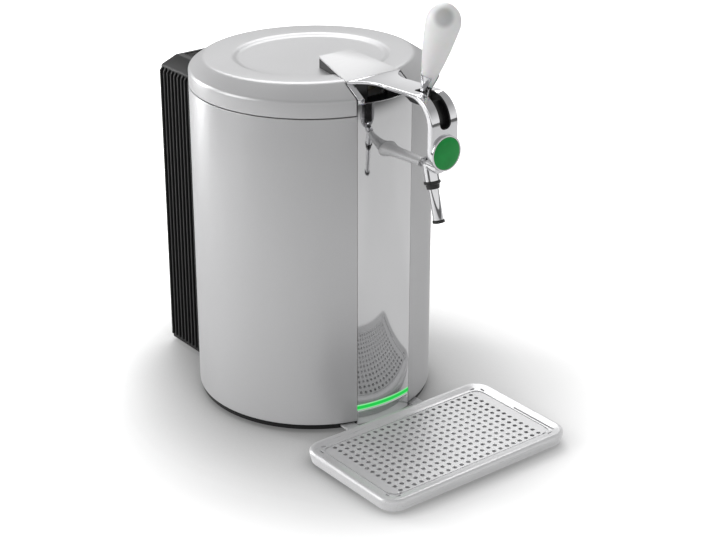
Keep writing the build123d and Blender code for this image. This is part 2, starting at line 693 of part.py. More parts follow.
def switch_frame():
    half_w = SWITCH_HALF_W + SWITCH_FRAME
    half_h = SWITCH_HALF_H + SWITCH_FRAME
    y0, y1 = HOUSING_REAR_Y - SWITCH_DEPTH, HOUSING_REAR_Y
    frame = block(SWITCH_X - half_w, SWITCH_X + half_w, y0, y1, INLET_Z - half_h, INLET_Z + half_h)
    room = block(SWITCH_X - SWITCH_HALF_W, SWITCH_X + SWITCH_HALF_W, y0 + SWITCH_FRAME, y1,
                 INLET_Z - SWITCH_HALF_H, INLET_Z + SWITCH_HALF_H)
    pip_hole = rod(SWITCH_PIN_R, 2 * half_h, (SWITCH_X, SWITCH_PIVOT_Y, INLET_Z - half_h), (0, 0, 1))
    return frame - room - pip_hole


def power_switch():
    """Rocker with a shallow V top, hinged across its middle on two pips."""
    half = SWITCH_HALF_W - SWITCH_GAP
    outline = Polyline((-half, -SWITCH_SKIRT), (-half, SWITCH_EDGE_H), (0, SWITCH_MIDDLE_H),
                       (half, SWITCH_EDGE_H), (half, -SWITCH_SKIRT), (0, -SWITCH_KEEL), close=True)
    plane = Plane(origin=(0, 0, 0), x_dir=(1, 0, 0), z_dir=(0, 0, -1))
    half_h = SWITCH_HALF_H - SWITCH_GAP
    rocker = extrude(plane * make_face(outline), amount=half_h, both=True)
    rocker += Cylinder(SWITCH_PIN_R - PIN_CLEARANCE, 2 * (SWITCH_HALF_H + SWITCH_FRAME))
    return Pos(SWITCH_X, SWITCH_PIVOT_Y, INLET_Z) * Rot(0, 0, -SWITCH_TILT) * rocker


# ---------------------------------------------------------------- lid
def tilted_plane(drop=0.0):
    """The lid's sloping top face, moved down by a distance."""
    return Plane(origin=(0, 0, LID_TOP_Z - drop), x_dir=(1, 0, 0),
                 z_dir=(0, sin(radians(LID_TILT)), cos(radians(LID_TILT))))


def lid_solid(inset, bottom):
    """The lid's outer form: a straight band and a bevel up to the sloping top."""
    shoulder = LID_BAND_TOP - inset * BEVEL_DROP
    reach = BODY_R * tan(radians(LID_TILT))
    slope = (BODY_R - LID_TOP_R) / (LID_TOP_Z - LID_BAND_TOP)
    rise = LID_TOP_Z - shoulder + reach
    bevel = Pos(0, 0, shoulder) * Cone(BODY_R - inset, BODY_R - inset - rise * slope, rise, align=UPRIGHT)
    above = tilted_plane(inset) * Pos(0, 0, rise) * Box(3 * BODY_R, 3 * BODY_R, 2 * rise)
    return drum(BODY_R - inset, bottom, shoulder) + (bevel - above)


def dish_cutter():
    """The shallow round hollow in the lid's top."""
    mouth = tilted_plane(-NUDGE) * Circle(DISH_R + DISH_SLOPE / 2)
    floor = tilted_plane(DISH_DEPTH) * Circle(DISH_R - DISH_SLOPE)
    return loft([floor, mouth], ruled=True)


def lid_notch(side_gap, y_edge, z0):
    half = NOTCH_HALF_W + side_gap
    return block(-half, half, -BODY_R - OVER, y_edge, z0, 2 * LID_TOP_Z)


def lid_shell():
    lid = lid_solid(0, LID_BOTTOM)
    lid -= dish_cutter()
    lid -= lid_notch(0, NOTCH_Y, 0)
    hollow = lid_solid(LID_WALL, LID_BOTTOM - NUDGE)
    hollow &= drum(BODY_R, 0, LID_HOLLOW_TOP)
    hollow -= lid_notch(LID_WALL, NOTCH_Y + LID_WALL, 0)
    lid -= hollow
    lid -= block(-MOUTH_HALF_W, MOUTH_HALF_W, NOTCH_Y - NUDGE, NOTCH_Y + LID_WALL + NUDGE,
                 MOUTH_BOTTOM, LID_HOLLOW_TOP)
    lid -= handle_pocket()
    lid += lid_knuckle()
    return lid


def lid_knuckle():
    """Lug at the back of the lid that turns on the hinge pin."""
    barrel = rod(KNUCKLE_R, 2 * KNUCKLE_HALF, (-KNUCKLE_HALF, HINGE_Y, HINGE_Z), (1, 0, 0))
    web = block(-KNUCKLE_HALF, KNUCKLE_HALF, BODY_R - LID_WALL, HINGE_Y,
                HINGE_Z - NUDGE, HINGE_Z + KNUCKLE_R)
    hole = rod(PIN_R + PIN_CLEARANCE, 2 * KNUCKLE_HALF, (-KNUCKLE_HALF, HINGE_Y, HINGE_Z), (1, 0, 0))
    return barrel + web - hole


def lid_liner():
    """Inner cover of the lid, with the hole and the channel that the beer tube follows."""
    top = LID_LINER_BOTTOM + LID_LINER_T
    cover = drum(BODY_R - LID_WALL, LID_LINER_BOTTOM, top)
    cover -= lid_notch(LID_WALL, NOTCH_Y + LID_WALL, 0)
    cover -= drum(TUBE_HOLE_R, 0, top)
    return cover


def lid_foam():
    z0 = LID_LINER_BOTTOM + LID_LINER_T
    foam = ring(LID_FOAM_R, TUBE_HOLE_R, z0, z0 + LID_FOAM_T)
    return foam - block(-CHANNEL_HALF_W, CHANNEL_HALF_W, -LID_FOAM_R - NUDGE, 0, z0, z0 + LID_FOAM_T)


def plate_outline():
    return ((-PLATE_BACK_HALF, PLATE_BACK_Y), (PLATE_BACK_HALF, PLATE_BACK_Y),
            (PLATE_FRONT_HALF, PLATE_FRONT_Y), (-PLATE_FRONT_HALF, PLATE_FRONT_Y))


def sloping_slab(half_width, y0, y1, top_drop, bottom_drop):
    """A slab under the plate's slope, between two distances below its top face."""
    slope = (PLATE_BACK_Z - PLATE_FRONT_Z) / (PLATE_BACK_Y - PLATE_FRONT_Y)

    def height(y):
        return PLATE_FRONT_Z + (y - PLATE_FRONT_Y) * slope

    lines = Polyline((y0, height(y0) - bottom_drop), (y1, height(y1) - bottom_drop),
                     (y1, height(y1) - top_drop), (y0, height(y0) - top_drop), close=True)
    return side_solid(lines, half_width)


def lid_handle_plate():
    plan = extrude(make_face(Polyline(*plate_outline(), close=True)), amount=2 * SHELL_TOP)
    slab = sloping_slab(PLATE_FRONT_HALF + NUDGE, PLATE_FRONT_Y, PLATE_BACK_Y, 0, PLATE_T)
    return slab & plan


def handle_pocket():
    """Room in the lid for the front of the plate and its support."""
    slab = sloping_slab(PLATE_FRONT_HALF + NUDGE, PLATE_FRONT_Y - NUDGE, PLATE_BACK_Y, -LID_RISE, PLATE_T)
    return slab & extrude(make_face(Polyline(*plate_outline(), close=True)), amount=2 * SHELL_TOP)


def handle_support():
    """Wedge that carries the handle plate above the dish."""
    front, back = -(DISH_R + SUPPORT_REACH), -(DISH_R - SUPPORT_REACH)
    wedge = sloping_slab(SUPPORT_HALF_W, front, back, PLATE_T, LID_RISE)
    return wedge - (lid_solid(0, 0) - dish_cutter())


# ---------------------------------------------------------------- hinge
def hinge_bracket():
    """Bracket on the housing's top with an ear on each side of the lid's knuckle."""
    inner = KNUCKLE_HALF + HINGE_SIDE_GAP
    ear = rod(KNUCKLE_R, BRACKET_HALF - inner, (inner, HINGE_Y, HINGE_Z), (1, 0, 0))
    ear += block(inner, BRACKET_HALF, HINGE_Y - 2 * NUDGE, HINGE_Y + KNUCKLE_R, HOUSING_TOP, HINGE_Z)
    ear -= rod(PIN_R, BRACKET_HALF - inner, (inner, HINGE_Y, HINGE_Z), (1, 0, 0))
    foot = block(-BRACKET_HALF, BRACKET_HALF, HINGE_Y + NUDGE, VENT_FRONT_Y - NUDGE,
                 HOUSING_TOP, HOUSING_TOP + BRACKET_FOOT_T)
    return mirrored(ear) + foot


def hinge_pin():
    return rod(PIN_R, 2 * BRACKET_HALF, (-BRACKET_HALF, HINGE_Y, HINGE_Z), (1, 0, 0))


# ---------------------------------------------------------------- tap
def arch_point(offset):
    """A point in the side view, given from the arch's centre."""
    return (ARCH_Y + offset[0], ARCH_Z + offset[1])


def arch_outline():
    """Side view of bridge, arch and front post as one bent strip."""
    top = ARCH_Z + ARCH_R
    front = ARCH_Y - ARCH_R
    inner_top = (ARCH_Y + CREST_RUN, top - CREST_T)
    return [
        Line((BRIDGE_BACK_Y, BRIDGE_ROOT_Z), (ARCH_Y, top)),
        RadiusArc((ARCH_Y, top), (front, ARCH_Z), -ARCH_R),
        Line((front, ARCH_Z), (front, POST_BOTTOM)),
        Line((front, POST_BOTTOM), (ARCH_INNER_Y, POST_BOTTOM)),
        Line((ARCH_INNER_Y, POST_BOTTOM), (ARCH_INNER_Y, ARCH_Z)),
        ThreePointArc((ARCH_INNER_Y, ARCH_Z), arch_point(INNER_BEND), inner_top),
        Line(inner_top, (BRIDGE_BACK_Y, BRIDGE_ROOT_Z - BRIDGE_T)),
        Line((BRIDGE_BACK_Y, BRIDGE_ROOT_Z - BRIDGE_T), (BRIDGE_BACK_Y, BRIDGE_ROOT_Z)),
    ]


def bridge_plan():
    """Plan view of the strip: wide at the lid, drawn in to the arch's width."""
    wide, narrow = BRIDGE_ROOT_HALF, ARCH_HALF_W
    flank = ((wide, BRIDGE_BACK_Y), BRIDGE_FLANK, (narrow, BRIDGE_NARROW_Y))
    far = ARCH_Y - ARCH_R - OVER
    left = [(-x, y) for x, y in flank]
    lines = [ThreePointArc(*flank), Line(flank[2], (narrow, far)), Line((narrow, far), (-narrow, far)),
             Line((-narrow, far), left[2]), ThreePointArc(*left[::-1]), Line(left[0], flank[0])]
    return extrude(make_face(lines), amount=2 * SHELL_TOP)


def slot_cutter():
    """The channel along the arch's crest that the lever moves in."""
    front = ARCH_Y - ARCH_R
    return block(-SLOT_HALF_W, SLOT_HALF_W, front - OVER, SLOT_START_Y,
                 SLOT_END_Z, ARCH_Z + ARCH_R + OVER)


def neck_axis_point(distance):
    """A point on the spout's axis, above the collar's lower end for positive distances."""
    return Vector(0, SPOUT_Y, SPOUT_Z) - SPOUT_DIR * distance


def tap_arch():
    strip = side_solid(arch_outline(), BRIDGE_ROOT_HALF + NUDGE) & bridge_plan()
    corner = Plane.XZ.offset(-ARCH_INNER_Y - NUDGE) * (Pos(0, BADGE_Z) * Circle(ARCH_HALF_W))
    rounded = extrude(corner, amount=ARCH_R)
    below = block(-BODY_R, BODY_R, ARCH_Y - ARCH_R - NUDGE, ARCH_INNER_Y + NUDGE, 0, BADGE_Z)
    strip -= below - rounded
    strip -= slot_cutter()
    hub = block(-HUB_HALF_W, HUB_HALF_W, ARCH_INNER_Y - NUDGE, HUB_BACK_Y, HUB_BOTTOM, HUB_TOP)
    hub = fillet(hub.edges().filter_by(Axis.Y) + hub.edges().filter_by(Axis.X), HUB_FILLET)
    neck = rod(NECK_R, NECK_L, neck_axis_point(COLLAR_H + NECK_L), SPOUT_DIR)
    arch = strip + hub + neck
    arch -= rod(NOZZLE_R, SOCKET_L + NUDGE, neck_axis_point(COLLAR_H + SOCKET_L), SPOUT_DIR)
    bore = PLUNGER_L + PLUNGER_TRAVEL + NUDGE
    start = neck_axis_point(COLLAR_H + SOCKET_L + bore)
    return arch - rod(PLUNGER_R + PLUNGER_CLEARANCE, bore, start, SPOUT_DIR)


def tap_plunger():
    """Stopper that closes the spout's upper end and lifts when the lever is pulled."""
    return rod(PLUNGER_R, PLUNGER_L, neck_axis_point(COLLAR_H + SOCKET_L + PLUNGER_L), SPOUT_DIR)


def tap_liner():
    """Dark moulding inside the arch: it carries the lever's pin and closes the channel."""
    crest = (ARCH_Y + CREST_RUN, ARCH_Z + ARCH_R - CREST_T)
    floor = LEVER_Z - LEVER_HUB_R - LEVER_CLEARANCE - LINER_WALL_T
    back = (LINER_BACK_Y, bridge_underside(LINER_BACK_Y))
    inner_y = ARCH_INNER_Y + LINER_INSET
    lines = [
        Line(back, crest),
        ThreePointArc(crest, arch_point(INNER_BEND), (ARCH_INNER_Y, ARCH_Z)),
        Line((ARCH_INNER_Y, ARCH_Z), (ARCH_INNER_Y, HUB_TOP)),
        Line((ARCH_INNER_Y, HUB_TOP), (inner_y, HUB_TOP)),
        Line((inner_y, HUB_TOP), (inner_y, ARCH_Z)),
        ThreePointArc((inner_y, ARCH_Z), arch_point(LINER_BEND), (crest[0], floor)),
        Line((crest[0], floor), (LINER_FLOOR_Y, floor)),
        Line((LINER_FLOOR_Y, floor), back),
    ]
    liner = side_solid(lines, LINER_HALF_W)
    hub_start = (-SLOT_HALF_W, LEVER_Y, LEVER_Z)
    liner -= rod(LEVER_HUB_R + LEVER_CLEARANCE, 2 * SLOT_HALF_W, hub_start, (1, 0, 0))
    reach = LEVER_CLEARANCE + STEM_FOOT_R
    swing = block(-SLOT_HALF_W, SLOT_HALF_W, -reach, 4 * reach, 0, 5 * reach)
    for angle in (LEVER_LEAN, LEVER_LEAN + LEVER_TRAVEL / 2, LEVER_LEAN + LEVER_TRAVEL):
        liner -= Pos(0, LEVER_Y, LEVER_Z) * Rot(angle, 0, 0) * mirror(swing, about=Plane.XZ)
    return liner - rod(LEVER_PIN_R, 2 * LINER_HALF_W, (-LINER_HALF_W, LEVER_Y, LEVER_Z), (1, 0, 0))


def tap_arm():
    """Lower arm from the panel to the hub, with a flange and a threaded tail."""
    section = Plane.XZ.offset(-HUB_BACK_Y) * (Pos(0, ARM_Z) * Ellipse(ARM_A, ARM_B))
    arm = extrude(section, amount=-(abs(HUB_BACK_Y) - SHELL_IN_R + ARM_TAIL))
    flange = rod(ARM_FLANGE_R, ARM_FLANGE_T + OVER, (0, -BODY_R - ARM_FLANGE_T, ARM_Z), (0, 1, 0))
    return arm + (flange - drum(BODY_R, 0, SEAM_Z))


def arm_nut():
    seat = Plane(origin=(0, -SHELL_IN_R, ARM_Z), z_dir=(0, 1, 0))
    nut = extrude(seat * RegularPolygon(ARM_NUT_R, 6), amount=ARM_NUT_T)
    hole = Plane.XZ.offset(BODY_R) * (Pos(0, ARM_Z) * Ellipse(ARM_A, ARM_B))
    nut -= extrude(hole, amount=-BODY_R)
    return nut & drum(SHELL_IN_R, 0, SEAM_Z)


def bridge_underside(y):
    """Height of the bridge's lower face."""
    y0, z0 = BRIDGE_BACK_Y, BRIDGE_ROOT_Z - BRIDGE_T
    y1, z1 = ARCH_Y + CREST_RUN, ARCH_Z + ARCH_R - CREST_T
    return z0 + (y - y0) * (z1 - z0) / (y1 - y0)


def above_bridge_underside():
    """Everything above the bridge's lower face."""
    y0, y1 = BRIDGE_BACK_Y, ARCH_Y
    z0, z1 = bridge_underside(y0), bridge_underside(y1)
    return side_solid(Polyline((y0, z0), (y1, z1), (y1, 2 * z1), (y0, 2 * z1), close=True), BODY_R)


def tap_mount():
    """Block on the chamber flange that carries the bridge, with the tube's tunnel through it."""
    half = BRIDGE_ROOT_HALF - CHEEK_W
    top = BRIDGE_ROOT_Z + OVER
    tunnel_floor = PANEL_TOP - MOUNT_DROP
    carrier = block(-half, half, -SHELL_IN_R, BRIDGE_BACK_Y, FLANGE_TOP, top)
    carrier &= drum(SHELL_IN_R, 0, top)
    carrier -= block(-half, half, -BODY_R, MOUNT_FRONT_Y, tunnel_floor, 2 * top)
    carrier -= block(-MOUTH_HALF_W, MOUTH_HALF_W, -BODY_R, 0, tunnel_floor, MOUTH_TOP - NUDGE)
    return carrier - above_bridge_underside()


def throat_trim():
    """Bright cheeks on both sides of the tube's way, flush with the lid's bevel."""
    inner = BRIDGE_ROOT_HALF - CHEEK_W
    cheek = block(inner, BRIDGE_ROOT_HALF, -BODY_R, BRIDGE_BACK_Y, FLANGE_TOP, BRIDGE_ROOT_Z + OVER)
    cheek &= lid_solid(0, 0)
    cheek -= ring(2 * BODY_R, SHELL_IN_R, 0, PANEL_TOP + LIGHT_GAP)
    return mirrored(cheek - above_bridge_underside())


def badge_ring():
    y = ARCH_Y - ARCH_R
    outer = rod(BADGE_R, BADGE_RING_T, (0, y, BADGE_Z), (0, -1, 0))
    return outer - rod(BADGE_R - BADGE_RING_W, BADGE_RING_T, (0, y - BADGE_SEAT, BADGE_Z), (0, -1, 0))


def badge_lens():
    """Slightly domed disc that sits in the ring."""
    radius = BADGE_R - BADGE_RING_W
    y = ARCH_Y - ARCH_R - BADGE_SEAT
    edge = BADGE_RING_T - BADGE_SEAT - BADGE_SINK
    outline = [
        Line((0, 0), (radius, 0)),
        Line((radius, 0), (radius, edge)),
        dome(radius, edge, BADGE_DOME),
        Line((0, edge + BADGE_DOME), (0, 0)),
    ]
    lens = revolve(Plane.XZ * make_face(outline), Axis.Z)
    return Pos(0, y, BADGE_Z) * Rot(90, 0, 0) * lens


# ---------------------------------------------------------------- spout
def spout_collar():
    top = Plane(origin=neck_axis_point(COLLAR_H), z_dir=SPOUT_DIR)
    end = Plane(origin=neck_axis_point(0), z_dir=SPOUT_DIR)
    collar = loft([top * Circle(COLLAR_R_TOP), end * Circle(COLLAR_R_END)])
    return collar - rod(NOZZLE_R, COLLAR_H, neck_axis_point(COLLAR_H), SPOUT_DIR)


def spout_nozzle():
    top = COLLAR_H + SOCKET_L
    tube = rod(NOZZLE_R, top + NOZZLE_L, neck_axis_point(top), SPOUT_DIR)
    return tube - rod(NOZZLE_BORE, top + NOZZLE_L, neck_axis_point(top), SPOUT_DIR)


def spout_tip():
    tip = rod(TIP_R, TIP_H, neck_axis_point(-NOZZLE_L), SPOUT_DIR)
    return tip - rod(NOZZLE_BORE, TIP_H, neck_axis_point(-NOZZLE_L), SPOUT_DIR)


# ---------------------------------------------------------------- lever
def lever_place():
    """Frame at the pivot whose Z runs up the lever."""
    return Pos(0, LEVER_Y, LEVER_Z) * Rot(LEVER_LEAN, 0, 0)


def lever_pin():
    return rod(LEVER_PIN_R, 2 * LINER_HALF_W, (-LINER_HALF_W, LEVER_Y, LEVER_Z), (1, 0, 0))


def grip_outline(gap):
    """Half of the grip's profile, made wider by a gap."""
    foot, head = GRIP_FOOT_R + gap, GRIP_HEAD_R + gap
    top = GRIP_END - GRIP_HEAD_AT
    return [
        Line((0, GRIP_START), (foot, GRIP_START)),
        Spline((foot, GRIP_START), (GRIP_WAIST_R + gap, GRIP_WAIST_AT),
               (GRIP_BELLY_R + gap, GRIP_BELLY_AT), (head, GRIP_HEAD_AT)),
        dome(head, GRIP_HEAD_AT, top),
        Line((0, GRIP_END), (0, GRIP_START)),
    ]


def lever_grip():
    """Turned grip: slim at the yoke, swelling to a round head."""
    return lever_place() * revolve(Plane.XZ * make_face(grip_outline(0)), Axis.Z)


def lever_yoke():
    """Bright foot of the lever: a hub on the pin and two prongs that hold the grip."""
    hub = Rot(0, 90, 0) * Cylinder(LEVER_HUB_R, 2 * LEVER_HUB_HALF)
    foot = Cone(STEM_FOOT_R, GRIP_FOOT_R + PRONG_T, GRIP_START, align=UPRIGHT)
    prongs = revolve(Plane.XZ * make_face(grip_outline(PRONG_T)), Axis.Z)
    prongs &= Pos(0, 0, GRIP_START) * Cylinder(GRIP_HEAD_R, PRONG_END - GRIP_START, align=UPRIGHT)
    prongs -= revolve(Plane.XZ * make_face(grip_outline(0)), Axis.Z)
    window = Box(2 * WINDOW_HALF_W, 4 * GRIP_HEAD_R, PRONG_END, align=UPRIGHT)
    prongs -= Pos(0, 0, GRIP_START + WINDOW_FOOT) * window
    pin_hole = Rot(0, 90, 0) * Cylinder(LEVER_PIN_R + PIN_CLEARANCE, 4 * LEVER_HUB_HALF)
    return lever_place() * (hub + foot + prongs - pin_hole)


# ---------------------------------------------------------------- drip tray
def tray_plan(inset, corner):
    width = 2 * (TRAY_HALF_W - inset)
    depth = TRAY_BACK_Y - TRAY_FRONT_Y - 2 * inset
    return Pos(0, (TRAY_BACK_Y + TRAY_FRONT_Y) / 2) * RectangleRounded(width, depth, corner)


def tray_form():
    """The tray's outer shape, wider towards its upper edge."""
    low = Plane.XY.offset(TRAY_BOTTOM) * tray_plan(TRAY_TAPER, TRAY_R - TRAY_TAPER)
    high = Plane.XY.offset(TRAY_TOP) * tray_plan(0, TRAY_R)
    return loft([low, high], ruled=True)


def tray_layer(z0, z1):
    return tray_form() & block(-TRAY_HALF_W, TRAY_HALF_W, TRAY_FRONT_Y, TRAY_BACK_Y, z0, z1)


def tray_pan():
    """Floor plate under the well."""
    return tray_layer(TRAY_BOTTOM, TRAY_BOTTOM + TRAY_FLOOR_T)


def drip_tray():
    """Frame round the well, with the grid's seat and the tongues that hold it to the base."""
    tray = tray_layer(TRAY_BOTTOM + TRAY_FLOOR_T, TRAY_TOP)
    seat_z = TRAY_TOP - GRID_SINK - GRID_T
    seat = extrude(tray_plan(TRAY_RIM, GRID_CORNER_R), amount=2 * TRAY_TOP)
    tray -= Pos(0, 0, seat_z) * seat
    well = tray_plan(TRAY_RIM + GRID_LEDGE, GRID_CORNER_R - GRID_LEDGE)
    tray -= extrude(well, amount=2 * TRAY_TOP)
    tongue = block(TONGUE_X - TONGUE_HALF_W, TONGUE_X + TONGUE_HALF_W, TRAY_BACK_Y - OVER, TONGUE_END_Y,
                   TONGUE_BOTTOM, TONGUE_BOTTOM + TONGUE_T)
    tongue -= extrude(tray_plan(TRAY_TAPER, TRAY_R), amount=2 * TRAY_TOP)
    return tray + mirrored(tongue)


def drip_grid():
    plan = tray_plan(TRAY_RIM + GRID_GAP, GRID_CORNER_R - GRID_GAP)
    centre = (TRAY_BACK_Y + TRAY_FRONT_Y) / 2
    box = plan.bounding_box()
    columns = int((box.size.X - 2 * GRID_END_MARGIN) // GRID_PITCH) + 1
    rows = int((box.size.Y - 2 * GRID_SIDE_MARGIN) // GRID_PITCH) + 1
    grid = GridLocations(GRID_PITCH, GRID_PITCH, columns, rows)
    hole = (Pos(0, centre) * RegularPolygon(GRID_HOLE_R, 6)).face().outer_wire()
    rims = [hole.moved(place) for place in grid.locations]
    sheet = Face(plan.face().outer_wire(), rims)
    return Pos(0, 0, TRAY_TOP - GRID_SINK - GRID_T) * extrude(sheet, amount=GRID_T)


def tray_feet():
    x = TRAY_HALF_W - TRAY_FOOT_INSET
    rows = (TRAY_BACK_Y - TRAY_FOOT_INSET, TRAY_FRONT_Y + TRAY_FOOT_INSET)
    return round_feet([(side * x, y) for side in (-1, 1) for y in rows], TRAY_FOOT_R, TRAY_BOTTOM)


SUB_PARTS = (
    base_plate, rubber_feet, outer_shell, front_panel, base_trim, light_strip, insulation,
    chamber_liner, chamber_seal, keg_pad, cold_block, peltier_module, heat_sink, fan_frame, fan_rotor,
    rear_housing, top_vent, housing_screws, control_board, power_inlet, switch_frame, power_switch,
    lid_shell, lid_liner, lid_foam, lid_handle_plate, handle_support, hinge_bracket, hinge_pin,
    tap_arch, tap_liner, tap_plunger, tap_arm, arm_nut, tap_mount, throat_trim, badge_ring, badge_lens,
    spout_collar, spout_nozzle, spout_tip, lever_pin, lever_yoke, lever_grip,
    drip_tray, tray_pan, drip_grid, tray_feet,
)

os.makedirs(PARTS, exist_ok=True)
for sub_part in SUB_PARTS:
    write(sub_part.__name__, sub_part())
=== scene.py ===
"""Countertop beer dispenser, dressed for rendering over its CAD frame.

Metres, in the frame of the CAD model: the table is z = 0, the tap faces -Y, and the drum's
upright axis stands at y = DRUM_Y.
"""
import json
from math import asin, atan2, ceil, cos, pi, radians, sin, sqrt, tan

import bmesh
import bpy
from bpy.props import FloatProperty, FloatVectorProperty, IntProperty, PointerProperty
from bpy.types import Operator, Panel, PropertyGroup
from mathutils import Matrix, Vector


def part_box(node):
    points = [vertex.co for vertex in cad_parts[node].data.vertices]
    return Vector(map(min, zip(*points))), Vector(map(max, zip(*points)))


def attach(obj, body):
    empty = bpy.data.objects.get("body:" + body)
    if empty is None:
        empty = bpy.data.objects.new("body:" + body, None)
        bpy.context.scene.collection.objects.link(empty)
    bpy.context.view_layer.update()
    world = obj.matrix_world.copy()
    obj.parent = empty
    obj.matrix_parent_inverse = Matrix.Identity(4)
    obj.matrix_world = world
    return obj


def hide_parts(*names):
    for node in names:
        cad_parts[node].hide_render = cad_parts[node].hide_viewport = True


bl_info = {
    "name": "Beer dispenser",
    "version": (1, 0, 0),
    "blender": (4, 5, 0),
    "location": "3D View > Sidebar > Dispenser",
    "description": "Builds the visible pieces of a countertop beer dispenser over its CAD frame",
    "category": "Add Mesh",
}

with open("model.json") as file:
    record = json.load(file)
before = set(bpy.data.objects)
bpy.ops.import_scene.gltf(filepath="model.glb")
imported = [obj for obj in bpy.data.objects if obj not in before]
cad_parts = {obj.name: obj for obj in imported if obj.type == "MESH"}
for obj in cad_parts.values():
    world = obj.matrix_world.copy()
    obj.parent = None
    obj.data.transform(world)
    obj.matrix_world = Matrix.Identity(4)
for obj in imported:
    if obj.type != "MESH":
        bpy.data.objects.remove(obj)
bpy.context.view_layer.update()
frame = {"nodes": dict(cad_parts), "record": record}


# ---------------------------------------------------------------- places read from the frame
def node_box(name):
    """Lowest and highest corner of a CAD node."""
    low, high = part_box(name)
    return Vector(low), Vector(high)


def node_middle(name):
    low, high = node_box(name)
    return (low.x + high.x) / 2, (low.y + high.y) / 2, (low.z + high.z) / 2


SHELL_LOW, SHELL_HIGH = node_box("outer_shell")
PANEL_LOW, PANEL_HIGH = node_box("front_panel")
PLATE_LOW, PLATE_HIGH = node_box("lid_handle_plate")
ARCH_LOW, ARCH_HIGH = node_box("tap_arch")
RING_LOW, RING_HIGH = node_box("badge_ring")
HOUSING_LOW, HOUSING_HIGH = node_box("rear_housing")
VENT_LOW, VENT_HIGH = node_box("top_vent")
TRIM_LOW, TRIM_HIGH = node_box("base_trim")
GRID_LOW, GRID_HIGH = node_box("drip_grid")

DRUM_R = (SHELL_HIGH.x - SHELL_LOW.x) / 2
DRUM_Y = node_middle("chamber_liner")[1]
DRUM_AXIS = Matrix.Translation((0, DRUM_Y, 0))
FACE_Y = DRUM_Y - DRUM_R            # the drum's foremost line
LID_FOOT = node_box("lid_shell")[0].z
SEAM = (SHELL_HIGH.z + LID_FOOT) / 2
ARM_Z = node_middle("tap_arm")[2]
ROOT_Z = ARM_Z - 0.0032             # the lower arm meets the panel a little lower
BADGE_Z = (RING_LOW.z + RING_HIGH.z) / 2
TRAY_Y = (GRID_LOW.y + GRID_HIGH.y) / 2
HAIR = 0.00005                      # clearance between pieces that seat in each other


def srgb(hex_code):
    """A colour written as sRGB hex, in the linear values that the shaders take."""
    values = [int(hex_code[i:i + 2], 16) / 255 for i in (1, 3, 5)]
    return tuple(v / 12.92 if v <= 0.04045 else ((v + 0.055) / 1.055) ** 2.4 for v in values)


def length(name, default, description):
    return FloatProperty(name=name, default=default, description=description, unit="LENGTH",
                         precision=4, min=0.0)


def colour(name, hex_code, description):
    return FloatVectorProperty(name=name, default=srgb(hex_code), description=description,
                               subtype="COLOR", size=3, min=0.0, max=1.0)


class DispenserSizes(PropertyGroup):
    sheet: length("Drum sheet", 0.0015, "Thickness of the drum's sheet")
    lid_band: length("Lid band", 0.0174, "Height of the lid's straight band above the seam")
    lid_bevel: length("Lid bevel", 0.018, "Width of the sloping ring round the lid's top")
    lid_rise: length("Lid rise", 0.0292, "Height of the lid's top above the seam, on the axis")
    lid_wall: length("Lid wall", 0.002, "Wall of the lid's moulding")
    dish_radius: length("Dish radius", 0.081, "Radius of the hollow in the lid's top")
    dish_depth: length("Dish depth", 0.003, "Depth of the hollow in the lid's top")
    notch_half: length("Notch half-width", 0.0363, "Half the width of the notch for the tap")
    notch_depth: length("Notch depth", 0.0248, "Depth of the notch from the drum's face")
    plate_back_half: length("Plate's back", 0.0214, "Half the handle plate's width at its back")
    plate_thick: length("Plate thickness", 0.0022, "Thickness of the handle plate")
    arch_radius: length("Arch radius", 0.0285, "Radius of the tap's outer curve")
    arch_half: length("Arch half-width", 0.017, "Half the width of the tap's arch")
    slot_half: length("Channel half-width", 0.007, "Half the width of the lever's channel")
    arm_wide: length("Arm half-width", 0.0064, "Half the width of the lower arm at the hub")
    arm_high: length("Arm half-height", 0.0045, "Half the height of the lower arm at the hub")
    neck_radius: length("Neck radius", 0.0078, "Radius of the neck above the spout")
    nozzle_radius: length("Nozzle radius", 0.0053, "Outside radius of the spout's tube")
    nozzle_bore: length("Nozzle bore", 0.0039, "Inside radius of the spout's tube")
    grip_length: length("Grip's end", 0.1045, "Distance from the lever's pin to the grip's crown")
    grip_radius: length("Grip's head", 0.0173, "Radius of the grip's head")
    rib_pitch: length("Rib pitch", 0.007, "Distance between the housing's ribs")
    rib_width: length("Rib width", 0.0032, "Width of one rib of the housing")
    rib_depth: length("Rib depth", 0.0035, "How far a rib stands off the housing")
    housing_chamfer: length("Housing chamfer", 0.0125, "Chamfer round the housing's top")
    tray_corner: length("Tray corner", 0.021, "Radius of the drip tray's corners")
    tray_rim: length("Tray rim", 0.015, "Width of the drip tray's rim round the grid")
    hole_pitch: length("Hole pitch", 0.009, "Distance between the drip grid's holes")
    hole_radius: length("Hole radius", 0.0024, "Radius of a hole in the drip grid")
    hole_sides: IntProperty(name="Hole sides", default=16, min=8, max=32,
                            description="Sides of a hole in the drip grid")


class DispenserColours(PropertyGroup):
    silver: colour("Silver paint", "#C0C0C1", "Drum and lid")
    bright: colour("Plated metal", "#D9D9DB", "Tap and trim")
    mirror: colour("Mirror sheet", "#CDCDCE", "Tall front panel")
    brushed: colour("Satin metal", "#DEDEDF", "Tray, grid, lower arm and handle plate")
    black: colour("Black moulding", "#101011", "Rear housing and base")
    dark: colour("Dark moulding", "#0D0D0E", "Inside of the tap, collar and nozzle tip")
    rubber: colour("Rubber", "#1B1B1B", "Feet, seal and keg pad")
    badge: colour("Badge", "#11913F", "Domed disc on the tap")
    glow: colour("Glow", "#1FC94C", "Lit strip under the panel")
    grip: colour("Frosted grip", "#FBFCFC", "Lever's grip")
    foam: colour("Foam", "#E4DCC4", "Insulation")
    liner: colour("Liner", "#E8E8E6", "Keg chamber and the lid's inner cover")
    board: colour("Board", "#1F5B36", "Control board")


